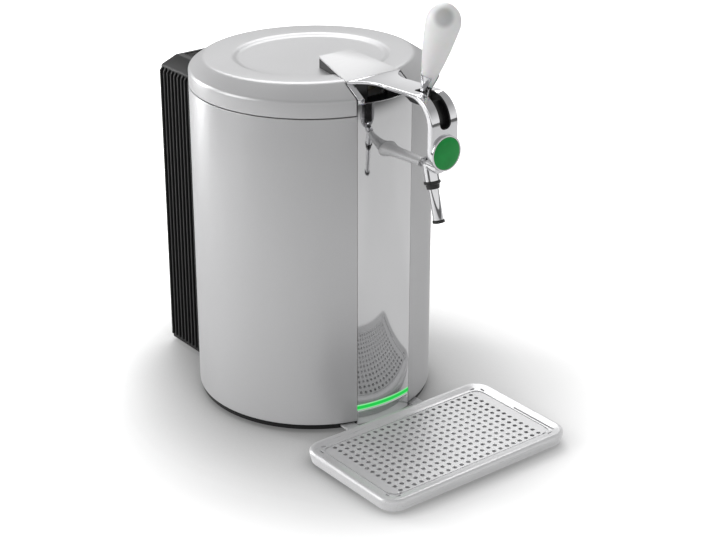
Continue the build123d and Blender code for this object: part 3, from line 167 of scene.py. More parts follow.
def sizes():
    return bpy.context.scene.dispenser_sizes


def colours():
    return bpy.context.scene.dispenser_colours


# ---------------------------------------------------------------- outlines
def on_circle(centre, radius, angle):
    return centre + radius * Vector((cos(angle), sin(angle)))


def rounded(corners, steps=6, closed=False):
    """An outline with its corners rounded; each corner is (x, y, radius)."""
    outline = []
    count = len(corners)
    for i, (x, y, radius) in enumerate(corners):
        here = Vector((x, y))
        if radius <= 0 or (not closed and i in (0, count - 1)):
            outline.append(here)
            continue
        before = Vector(corners[i - 1][:2]) - here
        after = Vector(corners[(i + 1) % count][:2]) - here
        turn = before.angle(after)
        run = min(radius / tan(turn / 2), 0.49 * before.length, 0.49 * after.length)
        radius = run * tan(turn / 2)
        before.normalize()
        after.normalize()
        centre = here + (before + after).normalized() * (radius / sin(turn / 2))
        start = here + before * run - centre
        sweep = start.angle_signed(here + after * run - centre)
        for k in range(steps + 1):
            outline.append(centre + Matrix.Rotation(-sweep * k / steps, 2) @ start)
    return outline


def upright(half, low, high, low_round, high_round, steps):
    """A four-cornered outline about x = 0, with its lower and upper corners rounded."""
    return rounded([(-half, low, low_round), (half, low, low_round), (half, high, high_round),
                    (-half, high, high_round)], steps, closed=True)


def quarter_turn(steps, first=0):
    """Evenly spaced angles up to a right angle."""
    return [k / steps * pi / 2 for k in range(first, steps + 1)]


def round_rectangle(half_x, half_y, radius, steps=10):
    """Plan of a rounded rectangle, anticlockwise, with evenly many points on each side."""
    points = []
    for quarter, (sx, sy) in enumerate(((1, -1), (1, 1), (-1, 1), (-1, -1))):
        centre = Vector((sx * (half_x - radius), sy * (half_y - radius)))
        for angle in quarter_turn(steps):
            points.append(on_circle(centre, radius, (quarter - 1) * pi / 2 + angle))
    return points


def placed(spot, angle, axis):
    """Frame at a spot, turned about one axis."""
    return Matrix.Translation(spot) @ Matrix.Rotation(angle, 4, axis)


def circle_through(p0, p1, p2):
    """Centre and radius of the circle through three points."""
    a, b = p1 - p0, p2 - p0
    cross = 2 * (a.x * b.y - a.y * b.x)
    across = Vector(((b.y * a.length_squared - a.y * b.length_squared) / cross,
                     (a.x * b.length_squared - b.x * a.length_squared) / cross))
    return p0 + across, across.length


def smooth_curve(points, steps):
    """Catmull-Rom curve through plane points."""
    curve = []
    padded = [points[0], *points, points[-1]]
    for i in range(1, len(padded) - 2):
        p0, p1, p2, p3 = (Vector(padded[i + k]) for k in (-1, 0, 1, 2))
        for k in range(steps):
            t = k / steps
            curve.append(0.5 * (2 * p1 + (p2 - p0) * t + (2 * p0 - 5 * p1 + 4 * p2 - p3) * t * t
                                + (3 * p1 - 3 * p2 + p3 - p0) * t ** 3))
    curve.append(Vector(points[-1]))
    return curve


def about_drum(radius, angle, z):
    """A point by its distance from the drum's axis and its angle from the front."""
    return Vector((radius * sin(angle), DRUM_Y - radius * cos(angle), z))


# ---------------------------------------------------------------- bodies as lists of rings
def prism(outline, axis, *places):
    """The outline at each place along an axis; its two coordinates go to the other axes."""
    rings = []
    for place in places:
        ring = []
        for point in outline:
            spot = list(point)
            spot.insert("XYZ".index(axis), place)
            ring.append(Vector(spot))
        rings.append(ring)
    return rings


def block(low, high):
    """A box, for a cutter or a lug."""
    (x0, y0, z0), (x1, y1, z1) = low, high
    return prism([(x0, y0), (x1, y0), (x1, y1), (x0, y1)], "Z", z0, z1)


def turned(profile, matrix, segments=48):
    """A body turned about the matrix's Z axis; each point of the profile is (radius, height)."""
    rings = []
    for radius, height in profile:
        ring = []
        for i in range(segments):
            angle = 2 * pi * i / segments
            ring.append(matrix @ Vector((radius * cos(angle), radius * sin(angle), height)))
        rings.append(ring)
    return rings


# ---------------------------------------------------------------- objects
def linked(name, data):
    piece = bpy.data.objects.new(name, data)
    bpy.context.scene.collection.objects.link(piece)
    return piece


def to_object(name, bm, outward=True):
    """A bmesh as an object, with its faces turned outwards."""
    if outward:
        bmesh.ops.recalc_face_normals(bm, faces=bm.faces)
    mesh = bpy.data.meshes.new(name)
    bm.to_mesh(mesh)
    bm.free()
    return linked(name, mesh)


def loft(name, *bodies, joined=False):
    """Faces between the rings of each body, with capped ends, or joined for a body that goes round."""
    bm = bmesh.new()
    for rings in bodies:
        rows = [[bm.verts.new(point) for point in ring] for ring in rings]
        count = len(rows[0])
        for low, high in zip(rows, rows[1:] + rows[:1] if joined else rows[1:]):
            for i in range(count):
                j = (i + 1) % count
                bm.faces.new((low[i], low[j], high[j], high[i]))
        if not joined:
            bm.faces.new(rows[0][::-1])
            bm.faces.new(rows[-1])
    return to_object(name, bm)


def cutter(name, *blocks):
    return loft(name, *(block(low, high) for low, high in blocks))


def join(name, pieces):
    """Several plain meshes as one object."""
    bm = bmesh.new()
    for piece in pieces:
        bm.from_mesh(piece.data)
        bpy.data.objects.remove(piece)
    return to_object(name, bm, outward=False)


def apply_modifiers(piece):
    """Turns the piece and its modifiers into a plain mesh."""
    bpy.context.view_layer.update()
    evaluated = piece.evaluated_get(bpy.context.evaluated_depsgraph_get())
    mesh = bpy.data.meshes.new_from_object(evaluated)
    piece.modifiers.clear()
    old = piece.data
    piece.data = mesh
    mesh.name = piece.name
    bpy.data.meshes.remove(old)


def combine(piece, operation, *others):
    """Boolean with other objects, which are used up."""
    for other in others:
        step = piece.modifiers.new("Combine", "BOOLEAN")
        step.operation = operation
        step.solver = "EXACT"
        step.object = other
        apply_modifiers(piece)
        bpy.data.objects.remove(other)


def soften(piece, width, segments=2, angle=30, weld=1e-6):
    """Merges loose triangles and rounds the edges that are sharper than the angle."""
    bm = bmesh.new()
    bm.from_mesh(piece.data)
    bmesh.ops.remove_doubles(bm, verts=bm.verts, dist=weld)
    bmesh.ops.dissolve_limit(bm, angle_limit=radians(0.5), verts=bm.verts, edges=bm.edges)
    bm.to_mesh(piece.data)
    bm.free()
    step = piece.modifiers.new("Soften", "BEVEL")
    step.width = width
    step.segments = segments
    step.limit_method = "ANGLE"
    step.angle_limit = radians(angle)
    apply_modifiers(piece)


def softened_copy(node, name, width, segments=2):
    """A CAD node's shape as a new object with its edges rounded."""
    source = frame["nodes"][node]
    bm = bmesh.new()
    bm.from_mesh(source.data)
    bmesh.ops.transform(bm, matrix=source.matrix_world, verts=bm.verts)
    piece = to_object(name, bm, outward=False)
    soften(piece, width, segments, weld=2e-6)
    return piece


def dress(piece, body, slot, *nodes, look=None, smooth=35):
    """Finish, smooth shading and the link to the CAD model; the look is the slot's own if none is given."""
    mesh = piece.data
    mesh.materials.clear()
    mesh.materials.append(finish_for(look or slot))
    mesh.polygons.foreach_set("material_index", [0] * len(mesh.polygons))
    mesh.polygons.foreach_set("use_smooth", [True] * len(mesh.polygons))
    mesh.set_sharp_from_angle(angle=radians(smooth))
    mesh.update()
    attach(piece, body)
    if nodes:
        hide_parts(*nodes)


# ---------------------------------------------------------------- materials
def add_node(tree, kind, settings=None, links=None, stops=()):
    """Adds a node; settings and links go to its sockets by name or place, or to its properties.

    A link comes from a socket or from a node's first output. stops are a colour ramp's places and colours.
    """
    node = tree.nodes.new(kind)
    for key, value in (settings or {}).items():
        if isinstance(key, int) or key in node.inputs:
            node.inputs[key].default_value = value
        else:
            setattr(node, key, value)
    for key, source in (links or {}).items():
        tree.links.new(source.outputs[0] if isinstance(source, bpy.types.Node) else source, node.inputs[key])
    for i, (position, value) in enumerate(stops):
        node.color_ramp.elements[i].position = position
        node.color_ramp.elements[i].color = (*value, 1.0)
    return node


def new_material(name, settings):
    """A material with a Principled shader; colours in the settings are three linear values."""
    material = bpy.data.materials.new(name)
    material.use_nodes = True
    tree = material.node_tree
    tree.nodes.clear()
    values = {key: (*value, 1.0) if isinstance(value, tuple) else value for key, value in settings.items()}
    surface = add_node(tree, "ShaderNodeBsdfPrincipled", values)
    add_node(tree, "ShaderNodeOutputMaterial", links={"Surface": surface})
    place = add_node(tree, "ShaderNodeTexCoord").outputs["Object"]
    return material, tree, surface, place


def tint(colour_value, factor):
    return tuple(min(1.0, channel * factor) for channel in colour_value)


def patterned(name, settings, tones, patterns, rough=None, bump=None):
    """A finish whose colour, roughness and grain come from noise.

    tones is a colour's name with its darkest and lightest tint, or two sRGB codes. patterns holds up
    to three noises, for the colour, the roughness and the grain; the first serves where one is
    missing. Each gives its cells to the metre, its detail and how it is squeezed along the axes.
    rough is the least and the most roughness, and bump the grain's strength.
    """
    material, tree, surface, place = new_material(name, settings)
    noises = []
    for cells, detail, *squeeze in patterns:
        spot = place
        if squeeze:
            spot = add_node(tree, "ShaderNodeMapping", {"Scale": squeeze[0]}, {"Vector": place})
        noises.append(add_node(tree, "ShaderNodeTexNoise", {"Scale": cells, "Detail": detail},
                               {"Vector": spot}))
    noises += noises[:1] * (3 - len(noises))
    if len(tones) == 2:
        low, high = srgb(tones[0]), srgb(tones[1])
    else:
        low, high = (tint(getattr(colours(), tones[0]), factor) for factor in tones[1:])
    shade = add_node(tree, "ShaderNodeValToRGB", links={"Fac": noises[0]}, stops=((0.3, low), (0.7, high)))
    tree.links.new(shade.outputs["Color"], surface.inputs["Base Color"])
    if rough:
        haze = add_node(tree, "ShaderNodeMapRange", {
            "From Min": 0.3, "From Max": 0.7, "To Min": rough[0], "To Max": rough[1]}, {"Value": noises[1]})
        tree.links.new(haze.outputs["Result"], surface.inputs["Roughness"])
    if bump:
        grain = add_node(tree, "ShaderNodeBump", {"Strength": bump, "Distance": 0.0001},
                         {"Height": noises[2]})
        tree.links.new(grain.outputs["Normal"], surface.inputs["Normal"])
    return material


BRUSHING = (60, 3, (1, 22, 22))
PATTERNED = {
    # Satin metal-effect paint: a broad soft highlight over flakes and an orange peel of 2.4 mm. The
    # flakes are drawn 0.4 mm wide, coarser than real ones, so that they show.
    "silver_paint": (
        {"Metallic": 0.5, "Roughness": 0.36, "Specular IOR Level": 0.25, "Specular Tint": srgb("#BEBEBE")},
        ("silver", 0.96, 1.04), ((2600, 2), (14, 2), (420, 2)), (0.33, 0.38), 0.12),
    # Mirror plating: sharp reflections with faint wiping marks about 2 cm wide.
    "polished_chrome": (
        {"Metallic": 1.0, "Roughness": 0.05}, ("bright", 0.97, 1.0), ((30, 2), (55, 4)), (0.03, 0.07)),
    # Polished sheet: clear reflections, hazed by wiping in patches of 2 to 3 cm.
    "mirror_sheet": (
        {"Metallic": 1.0, "Roughness": 0.06}, ("mirror", 0.96, 1.0), ((9, 2), (40, 3)), (0.04, 0.08)),
    # Fine-brushed plated metal: soft reflections drawn out across the brushing, whose lines are drawn
    # 0.8 mm apart, coarser than real ones, so that they show.
    "satin_metal": (
        {"Metallic": 0.35, "Roughness": 0.3}, ("brushed", 0.95, 1.03), (BRUSHING,), (0.27, 0.35)),
    # Plating with a fine satin: even and pale, without the tap's sharp reflections.
    "satin_plate": (
        {"Metallic": 0.35, "Roughness": 0.46, "Specular IOR Level": 0.3},
        ("brushed", 0.7178, 0.7622), (BRUSHING,), (0.43, 0.49)),
    # Pressed steel: even grey with a rolling grain of 0.8 mm along Y.
    "steel_sheet": (
        {"Metallic": 0.35, "Roughness": 0.38}, ("brushed", 0.92, 0.99), ((80, 3, (16, 1, 16)),),
        (0.34, 0.42)),
    # Black moulded plastic: dull, with a spark-eroded grain of 0.7 mm.
    "black_moulding": (
        {"Roughness": 0.48, "Specular IOR Level": 0.22}, ("black", 0.8, 1.25), ((1500, 3), (25, 2)),
        (0.44, 0.52), 0.25),
    # Dark plastic with a low gloss and a grain of 0.6 mm, as inside the tap and on its collar.
    "dark_moulding": (
        {"Roughness": 0.32}, ("dark", 0.85, 1.3), ((1800, 2), (60, 2)), (0.28, 0.36), 0.12),
    # Matt rubber: its skin is slightly rough, with pores of 0.9 mm.
    "soft_rubber": ({"Roughness": 0.75}, ("rubber", 0.8, 1.2), ((1100, 3),), None, 0.3),
    # White food-grade plastic with a soft sheen that varies every 5 to 6 cm.
    "white_moulding": ({"Roughness": 0.35}, ("liner", 0.97, 1.0), ((18, 2),), (0.31, 0.39)),
    # Extruded aluminium with draw lines along Z, 0.7 mm apart.
    "milled_aluminium": (
        {"Metallic": 1.0, "Roughness": 0.38}, ("#B3B5B8", "#C8CACC"), ((70, 3, (20, 20, 1)),),
        (0.32, 0.44)),
    # Matt sintered ceramic with a faint speckle of 1 mm.
    "white_ceramic": ({"Roughness": 0.6}, ("#DAD9D4", "#EDECE8"), ((900, 2),)),
    # Glossy clear dome over plain green, slightly deeper in clouds of 2 cm.
    "badge_enamel": (
        {"Roughness": 0.4, "Specular IOR Level": 0.15, "Coat Weight": 0.3, "Coat Roughness": 0.03},
        ("badge", 0.85, 1.1), ((60, 2),)),
}


def rigid_foam():
    """Poured foam: pale cells of about a millimetre, each slightly sunk."""
    base = colours().foam
    material, tree, surface, place = new_material("rigid_foam", {"Roughness": 0.85})
    cells = add_node(tree, "ShaderNodeTexVoronoi", {"Scale": 900.0}, {"Vector": place})
    shade = add_node(tree, "ShaderNodeValToRGB", links={"Fac": cells},
                     stops=((0.1, base), (0.7, tint(base, 0.82))))
    grain = add_node(tree, "ShaderNodeBump", {"Strength": 0.5, "Distance": 0.0004}, {"Height": cells})
    tree.links.new(shade.outputs["Color"], surface.inputs["Base Color"])
    tree.links.new(grain.outputs["Normal"], surface.inputs["Normal"])
    return material


def circuit_board():
    """Solder mask over a glass weave of 1.4 mm: green squares in two close shades."""
    base = colours().board
    material, tree, surface, place = new_material("circuit_board", {"Roughness": 0.4})
    weave = add_node(tree, "ShaderNodeTexChecker", {"Scale": 700.0}, {"Vector": place}).outputs["Fac"]
    shade = add_node(tree, "ShaderNodeValToRGB", links={"Fac": weave},
                     stops=((0.0, tint(base, 0.85)), (1.0, base)))
    tree.links.new(shade.outputs["Color"], surface.inputs["Base Color"])
    return material


def glowing_strip():
    """Light guide: saturated green along its middle, paler where the light leaves its two edges."""
    base = colours().glow
    material, tree, surface, place = new_material("glowing_strip", {
        "Roughness": 0.5, "Emission Strength": 1.0, "Base Color": tint(base, 0.04),
        "Specular IOR Level": 0.1})
    low, high = node_box("light_strip")
    up = add_node(tree, "ShaderNodeSeparateXYZ", links={0: place}).outputs["Z"]
    level = add_node(tree, "ShaderNodeMath", {"operation": "SUBTRACT", 1: (low.z + high.z) / 2}, {0: up})
    off = add_node(tree, "ShaderNodeMath", {"operation": "ABSOLUTE"}, {0: level})
    edge = add_node(tree, "ShaderNodeMapRange", {"From Max": (high.z - low.z) / 2}, {"Value": off})
    shade = add_node(tree, "ShaderNodeValToRGB", links={"Fac": edge},
                     stops=((0.45, base), (1.0, srgb("#A6F7B6"))))
    tree.links.new(shade.outputs["Color"], surface.inputs["Emission Color"])
    return material


def frosted_plastic():
    """Frosted translucent grip: light passes and scatters, with a darker spot painted on its head as the
    shade of a shallow dish there.

    Its tone drifts in clouds of 1 cm, and its sheen in specks of 1.4 mm.
    """
    base = colours().grip
    material, tree, surface, place = new_material("frosted_plastic", {
        "Roughness": 0.38, "Transmission Weight": 0.35, "Subsurface Weight": 0.3,
        "Subsurface Scale": 0.01, "IOR": 1.46})
    clouds, specks = (add_node(tree, "ShaderNodeTexNoise", {"Scale": cells}, {"Vector": place})
                      for cells in (90.0, 700.0))
    clear = add_node(tree, "ShaderNodeValToRGB", links={"Fac": clouds},
                     stops=((0.3, tint(base, 0.96)), (0.7, base)))
    # Painted shade: the colour darkens round this spot on the grip's head, standing for a shallow dish that
    # is not modelled.
    spot, core, reach = lever_matrix() @ Vector((-0.0095, -0.008, 0.0975)), 0.006, 0.0125
    off = add_node(tree, "ShaderNodeVectorMath", {"operation": "DISTANCE", 1: spot}, {0: place})
    near = add_node(tree, "ShaderNodeMapRange", {
        "interpolation_type": "SMOOTHSTEP", "From Min": core, "From Max": reach, "To Min": 1.0,
        "To Max": 0.0}, {"Value": off.outputs["Value"]})
    painted_dish_shade = add_node(tree, "ShaderNodeMix", {"data_type": "RGBA", 7: (*tint(base, 0.55), 1.0)},
                     {0: near, 6: clear})
    sheen = add_node(tree, "ShaderNodeMapRange", {
        "From Min": 0.3, "From Max": 0.7, "To Min": 0.34, "To Max": 0.42}, {"Value": specks})
    tree.links.new(painted_dish_shade.outputs[2], surface.inputs["Base Color"])
    tree.links.new(sheen.outputs["Result"], surface.inputs["Roughness"])
    return material


# The finish of each material slot of the CAD model, and of the looks that differ from their slot.
LOOKS = {
    "shell_paint": "silver_paint", "grey_plastic": "silver_paint", "chrome": "polished_chrome",
    "satin_chrome": "satin_metal", "plate": "satin_plate", "mirror": "mirror_sheet", "steel": "steel_sheet",
    "black_plastic": "black_moulding", "dark_plastic": "dark_moulding", "white_plastic": "white_moulding",
    "rubber": "soft_rubber", "aluminium": "milled_aluminium", "ceramic": "white_ceramic",
    "badge_green": "badge_enamel", "foam": rigid_foam, "light": glowing_strip, "board": circuit_board,
    "frosted_grip": frosted_plastic,
}
MADE = {}


def finish_for(slot):
    """The material of a slot, made the first time it is asked for."""
    maker = LOOKS[slot]
    if maker not in MADE:
        MADE[maker] = patterned(maker, *PATTERNED[maker]) if maker in PATTERNED else maker()
    return MADE[maker]


# ---------------------------------------------------------------- drum
def angle_steps(start, end, step_degrees=1.0):
    count = max(2, ceil(abs(end - start) / radians(step_degrees)))
    return [start + (end - start) * i / count for i in range(count + 1)]


def swept(name, section, angles):
    """A closed section of (radius, z) swept about the drum's axis through the angles."""
    return loft(name, [[about_drum(r, a, z) for r, z in section] for a in angles])


def drum_shell():
    """Painted sheet round the drum, open at the front for the panel and at the back for the cooler."""
    inner = DRUM_R - sizes().sheet
    soft = sizes().sheet * 0.45
    low, high = SHELL_LOW.z, SHELL_HIGH.z
    section = rounded([(DRUM_R, low, soft), (DRUM_R, high, soft), (inner, high, soft), (inner, low, soft)],
                      3, closed=True)
    gap = asin((PANEL_HIGH.x + 0.0004) / DRUM_R)
    shell = swept("drum_shell", section, angle_steps(gap, 2 * pi - gap))
    sink_low, sink_high = node_box("heat_sink")
    half, room = 0.048, 0.004
    combine(shell, "DIFFERENCE", cutter("window", ((-half, DRUM_Y, sink_low.z - room),
                                                   (half, DRUM_Y + 2 * DRUM_R, sink_high.z + room))))
    dress(shell, "machine", "shell_paint", "outer_shell")


def panel_strip(name, outer, inner, low, high, soft, rows=()):
    """An upright strip of the drum's curve as wide as the panel, with edge loops at some heights."""
    edge = asin(PANEL_HIGH.x / DRUM_R)
    section = rounded([(outer, low, soft), *((outer, z, 0.0) for z in rows), (outer, high, soft),
                       (inner, high, 0.0), *((inner, z, 0.0) for z in rows[::-1]), (inner, low, 0.0)],
                      4, closed=True)
    return swept(name, section, angle_steps(-edge, edge, 0.5))


def mirror_front():
    """Tall polished panel between the lid's notch and the light."""
    hole = 0.006
    margin, soft = 0.0003, 0.0005
    rows = (ROOT_Z - hole - margin, ROOT_Z + hole + margin)
    panel = panel_strip("front_mirror", DRUM_R, DRUM_R - sizes().sheet, PANEL_LOW.z, PANEL_HIGH.z,
                        soft, rows)
    across = placed((0, FACE_Y - 0.01, ROOT_Z), -pi / 2, "X")
    combine(panel, "DIFFERENCE", loft("arm_hole", turned([(hole, 0.0), (hole, 0.03)], across, 32)))
    dress(panel, "machine", "chrome", "front_panel", look="mirror")


def base_trim():
    """Bright foot of the panel, below the light."""
    edge = asin(TRIM_HIGH.x / DRUM_R)
    outline = [about_drum(DRUM_R, angle, 0.0).xy for angle in angle_steps(-edge, edge)]
    outline += [(TRIM_HIGH.x, TRIM_HIGH.y), (TRIM_LOW.x, TRIM_HIGH.y)]
    trim = loft("foot_trim", prism(outline, "Z", TRIM_LOW.z, TRIM_HIGH.z))
    soften(trim, 0.0012, 3, 40)
    dress(trim, "machine", "satin_chrome", "base_trim", look="chrome")


def light_guide():
    """Lit strip between the panel and its foot."""
    low, high = node_box("light_strip")
    outer = DRUM_Y - low.y
    strip = panel_strip("light_guide", outer, outer - 0.003, low.z, high.z, 0.0008)
    dress(strip, "machine", "light", "light_strip")


# ---------------------------------------------------------------- lid
LID_TILT = radians(1.6)
LID_SEGMENTS = 288


def lid_profile(angle):
    """The lid's outer profile at an angle from the front, from its lower edge to near the axis."""
    size = sizes()
    shoulder, top = SEAM + size.lid_band, SEAM + size.lid_rise
    tilt = tan(LID_TILT) * cos(angle)
    top_r = (DRUM_R - size.lid_bevel) / (1 + size.lid_bevel / (top - shoulder) * tilt)

    def on_top(radius, drop, edge):
        return radius, top + radius * tilt - drop, edge

    dish, depth = size.dish_radius, size.dish_depth
    return rounded([
        (DRUM_R - 0.012, LID_FOOT, 0.0), (DRUM_R, LID_FOOT, 0.0008), (DRUM_R, shoulder, 0.005),
        on_top(top_r, 0.0, 0.011), on_top(dish + 0.0025, 0.0, 0.011), on_top(dish - 0.0035, depth, 0.011),
        on_top(0.03, depth, 0.0)])


def lid_body():
    angles = [2 * pi * i / LID_SEGMENTS for i in range(LID_SEGMENTS)]
    sides = [[about_drum(p.x, angle, p.y) for p in lid_profile(angle)] for angle in angles]
    return loft("lid_cover", list(zip(*sides)))


def lid_ceiling():
    """Height of the flat ceiling inside the lid's moulding."""
    size = sizes()
    lowest = (DRUM_R - size.lid_bevel) * tan(LID_TILT)
    return SEAM + size.lid_rise - size.dish_depth - size.lid_wall - lowest


def lid_hollow():
    """What the lid's moulding is hollowed by, with walls left round the notch."""
    size = sizes()
    shoulder = SEAM + size.lid_band - size.lid_wall * 0.4
    ceiling = lid_ceiling()
    reach = DRUM_R - size.lid_wall
    narrow = reach - (ceiling - shoulder) * (size.lid_bevel / (size.lid_rise - size.lid_band))
    floor, core = LID_FOOT - 0.001, 0.01
    profile = [(core, floor), (reach, floor), (reach, shoulder), (narrow, ceiling), (core, ceiling)]
    hollow = loft("lid_hollow", turned(profile, DRUM_AXIS, 144))
    combine(hollow, "DIFFERENCE", notch_block("notch_wall", size.lid_wall))
    return hollow


def notch_block(name, wall):
    """The notch for the tap, wider by a wall, from below the lid to above it."""
    half, back = sizes().notch_half + wall, FACE_Y + sizes().notch_depth + wall
    below, above = 0.3, 0.45
    return cutter(name, ((-half, FACE_Y - 0.01, below), (half, back, above)))


def plate_corners(grow=0.0):
    """Plan of the handle plate: (x, y), narrow at the back."""
    back, front = sizes().plate_back_half + grow, PLATE_HIGH.x + grow
    low, high = PLATE_LOW.y - grow, PLATE_HIGH.y + grow
    return [(-front, low), (front, low), (back, high), (-back, high)]


def plate_top(y):
    """Height of the handle plate's face."""
    front_top = PLATE_LOW.z + sizes().plate_thick
    share = (y - PLATE_LOW.y) / (PLATE_HIGH.y - PLATE_LOW.y)
    return front_top + share * (PLATE_HIGH.z - front_top)


def plate_pocket():
    """Room in the lid for the plate's front."""
    corners = plate_corners(0.0003)
    seat, clear = -sizes().plate_thick - 0.0002, 0.03
    return loft("plate_pocket", [[Vector((x, y, plate_top(y) + up)) for x, y in corners]
                                 for up in (seat, clear)])


def hinge_knuckle():
    """Lug at the lid's back that turns on the hinge pin."""
    _, y, z = node_middle("hinge_pin")
    radius, wrap, half = 0.0055, 1.35 * pi, 0.014
    root = DRUM_Y + DRUM_R - 0.002
    outline = [Vector((root, z - 0.001)), Vector((root, z + radius))]
    outline += [on_circle(Vector((y, z)), radius, pi / 2 - k / 12 * wrap) for k in range(13)]
    knuckle = loft("knuckle", prism(outline, "X", -half, half))
    hole, reach = 0.00255, 0.02
    drill = turned([(hole, 0.0), (hole, 2 * reach)], placed((-reach, y, z), pi / 2, "Y"), 24)
    combine(knuckle, "DIFFERENCE", loft("pin_hole", drill))
    return knuckle


def lid_cover():
    """Lid moulding: band, bevel, sloping top with its dish, the notch for the tap and the tube's mouth."""
    lid = lid_body()
    combine(lid, "DIFFERENCE", notch_block("notch", 0.0), lid_hollow(), plate_pocket())
    back, half = FACE_Y + sizes().notch_depth, 0.013
    mouth = cutter("mouth", ((-half, back - 0.001, SEAM + 0.0074),
                             (half, back + sizes().lid_wall + 0.001, lid_ceiling())))
    combine(lid, "DIFFERENCE", mouth)
    combine(lid, "UNION", hinge_knuckle())
    dress(lid, "lid", "grey_plastic", "lid_shell", smooth=24)


def handle_plate():
    """Sloping bright plate that the lid is lifted by."""
    corners = [(x, y, r) for (x, y), r in zip(plate_corners(), (0.0012, 0.0012, 0.003, 0.003))]
    plan = rounded(corners, 5, closed=True)
    thick, soft = sizes().plate_thick, 0.0006
    middle = Vector((0, (PLATE_LOW.y + PLATE_HIGH.y) / 2))
    rings = []
    for inset, depth in ((soft, thick), (soft * 0.3, thick - soft * 0.3), (0.0, thick - soft),
                         (0.0, soft), (soft * 0.3, soft * 0.3), (soft, 0.0)):
        ring = []
        for point in plan:
            pulled = point - (point - middle).normalized() * inset
            ring.append(Vector((pulled.x, pulled.y, plate_top(point.y) - depth)))
        rings.append(ring)
    dress(loft("handle_plate", rings), "lid", "satin_chrome", "lid_handle_plate", look="plate")


def plate_wedge():
    """Block between the plate's underside and the lid's dish, in dark moulding so that it also stands for the
    shade under the plate's edge: partly a real support, partly painted shade.
    """
    corners = plate_corners(-0.0008)
    low = [Vector((x, y, PLATE_LOW.z - 0.008)) for x, y in corners]
    high = [Vector((x, y, plate_top(y) - sizes().plate_thick + 0.0001)) for x, y in corners]
    wedge = loft("plate_wedge", [low, high])
    combine(wedge, "DIFFERENCE", lid_body())
    dress(wedge, "lid", "grey_plastic", "handle_support", look="dark_plastic")


# ---------------------------------------------------------------- tap
BRIDGE_STEPS, ARCH_STEPS = 26, 28


def arch_centre():
    """Centre of the arch's outer curve, in the side view."""
    return Vector((ARCH_LOW.y + sizes().arch_radius, ARCH_HIGH.z - sizes().arch_radius))


def bridge_half(y):
    """Half-width of the strip along Y: wide at the lid, drawn in to the arch on a circle."""
    narrow = sizes().arch_half
    mid, end = ARCH_HIGH.y - 0.0135, ARCH_HIGH.y - 0.039
    if y <= end:
        return narrow
    centre, radius = circle_through(Vector((ARCH_HIGH.x, ARCH_HIGH.y)), Vector((0.0215, mid)),
                                    Vector((narrow, end)))
    return centre.x - sqrt(max(0.0, radius ** 2 - (y - centre.y) ** 2))


def arch_stations():
    """The strip as (outer point, inner point, half-width) along its side view."""
    centre, radius, half = arch_centre(), sizes().arch_radius, sizes().arch_half
    root = Vector((ARCH_HIGH.y, plate_top(PLATE_LOW.y)))
    crest_in = centre + Vector((0.004, radius - 0.0042))
    post = centre.x - radius + 0.0075
    stations = []
    for k in range(BRIDGE_STEPS + 1):
        t = k / BRIDGE_STEPS
        outer = root.lerp(centre + Vector((0.0, radius)), t)
        inner = (root - Vector((0, 0.003))).lerp(crest_in, t)
        stations.append((outer, inner, bridge_half(outer.x)))
    post_in = Vector((post, centre.y))
    inner_centre, inner_radius = circle_through(crest_in, centre + Vector((-0.0135, 0.0164)), post_in)
    start, end = (atan2(p.y - inner_centre.y, p.x - inner_centre.x) for p in (crest_in, post_in))
    if end < start:
        end += 2 * pi
    for k in range(1, ARCH_STEPS + 1):
        t = k / ARCH_STEPS
        stations.append((on_circle(centre, radius, pi / 2 + t * pi / 2),
                         on_circle(inner_centre, inner_radius, start + (end - start) * t), half))
    drops = [(centre.y + (BADGE_Z - centre.y) * k / 6, 1.0) for k in range(1, 7)]
    drops += [(BADGE_Z - half * sin(angle), cos(angle)) for angle in quarter_turn(15, 1)[:-1]]
    return stations + [(Vector((ARCH_LOW.y, z)), Vector((post, z)), half * share) for z, share in drops]


def strip_section(outer, inner, half, top_round, low_round):
    """Rounded cross-section of the strip between two points of the side view."""
    depth = (outer - inner).length
    top_round = min(top_round, 0.45 * depth, 0.9 * half)
    low_round = min(low_round, 0.3 * depth, 0.9 * half)
    flat = upright(half, 0.0, depth, low_round, top_round, 5)
    direction = (outer - inner).normalized()
    return [Vector((p.x, inner.x + direction.x * p.y, inner.y + direction.y * p.y)) for p in flat]


def spout_matrix():
    """Frame at the collar's lower end, Z along the leaning spout, upwards."""
    lean = radians(15.7)
    foot = Vector((0, arch_centre().x - 0.0122, ARM_Z - 0.0245))
    up = Vector((0, sin(lean), cos(lean)))
    return Matrix.Translation(foot) @ up.to_track_quat("Z", "Y").to_matrix().to_4x4()


def tap_hub():
    """Rounded block where arm, post and neck meet."""
    front, back = ARCH_LOW.y + 0.0065, arch_centre().x + 0.002
    rings = []
    for share, y in ((0.9, front), (1.0, front + 0.004), (1.0, back - 0.012), (0.97, back - 0.008),
                     (0.9, back - 0.004), (0.8, back - 0.001), (0.72, back)):
        flat = round_rectangle(0.0076 * share, 0.0068 * share, 0.0062 * share, 8)
        rings.append([Vector((p.x, y, ARM_Z + 0.0006 + p.y)) for p in flat])
    return loft("tap_hub", rings)


def channel_block(name, half, sink=0.0):
    """The lever's channel: open along the crest, with a round lower end in the front post."""
    centre = arch_centre()
    low, high = centre.y - 0.003 + sink, ARCH_HIGH.z + 0.01
    front, back = ARCH_LOW.y - 0.01, centre.x + 0.013 - sink
    whole = loft(name, prism(upright(half, centre.x, back, 0.0, 0.004, 6), "Z", low, high))
    face = upright(half, low, high, half * 0.85, 0.0, 8)
    combine(whole, "UNION", loft(name + "_front", prism(face, "Y", front, centre.x + 0.0002)))
    return whole


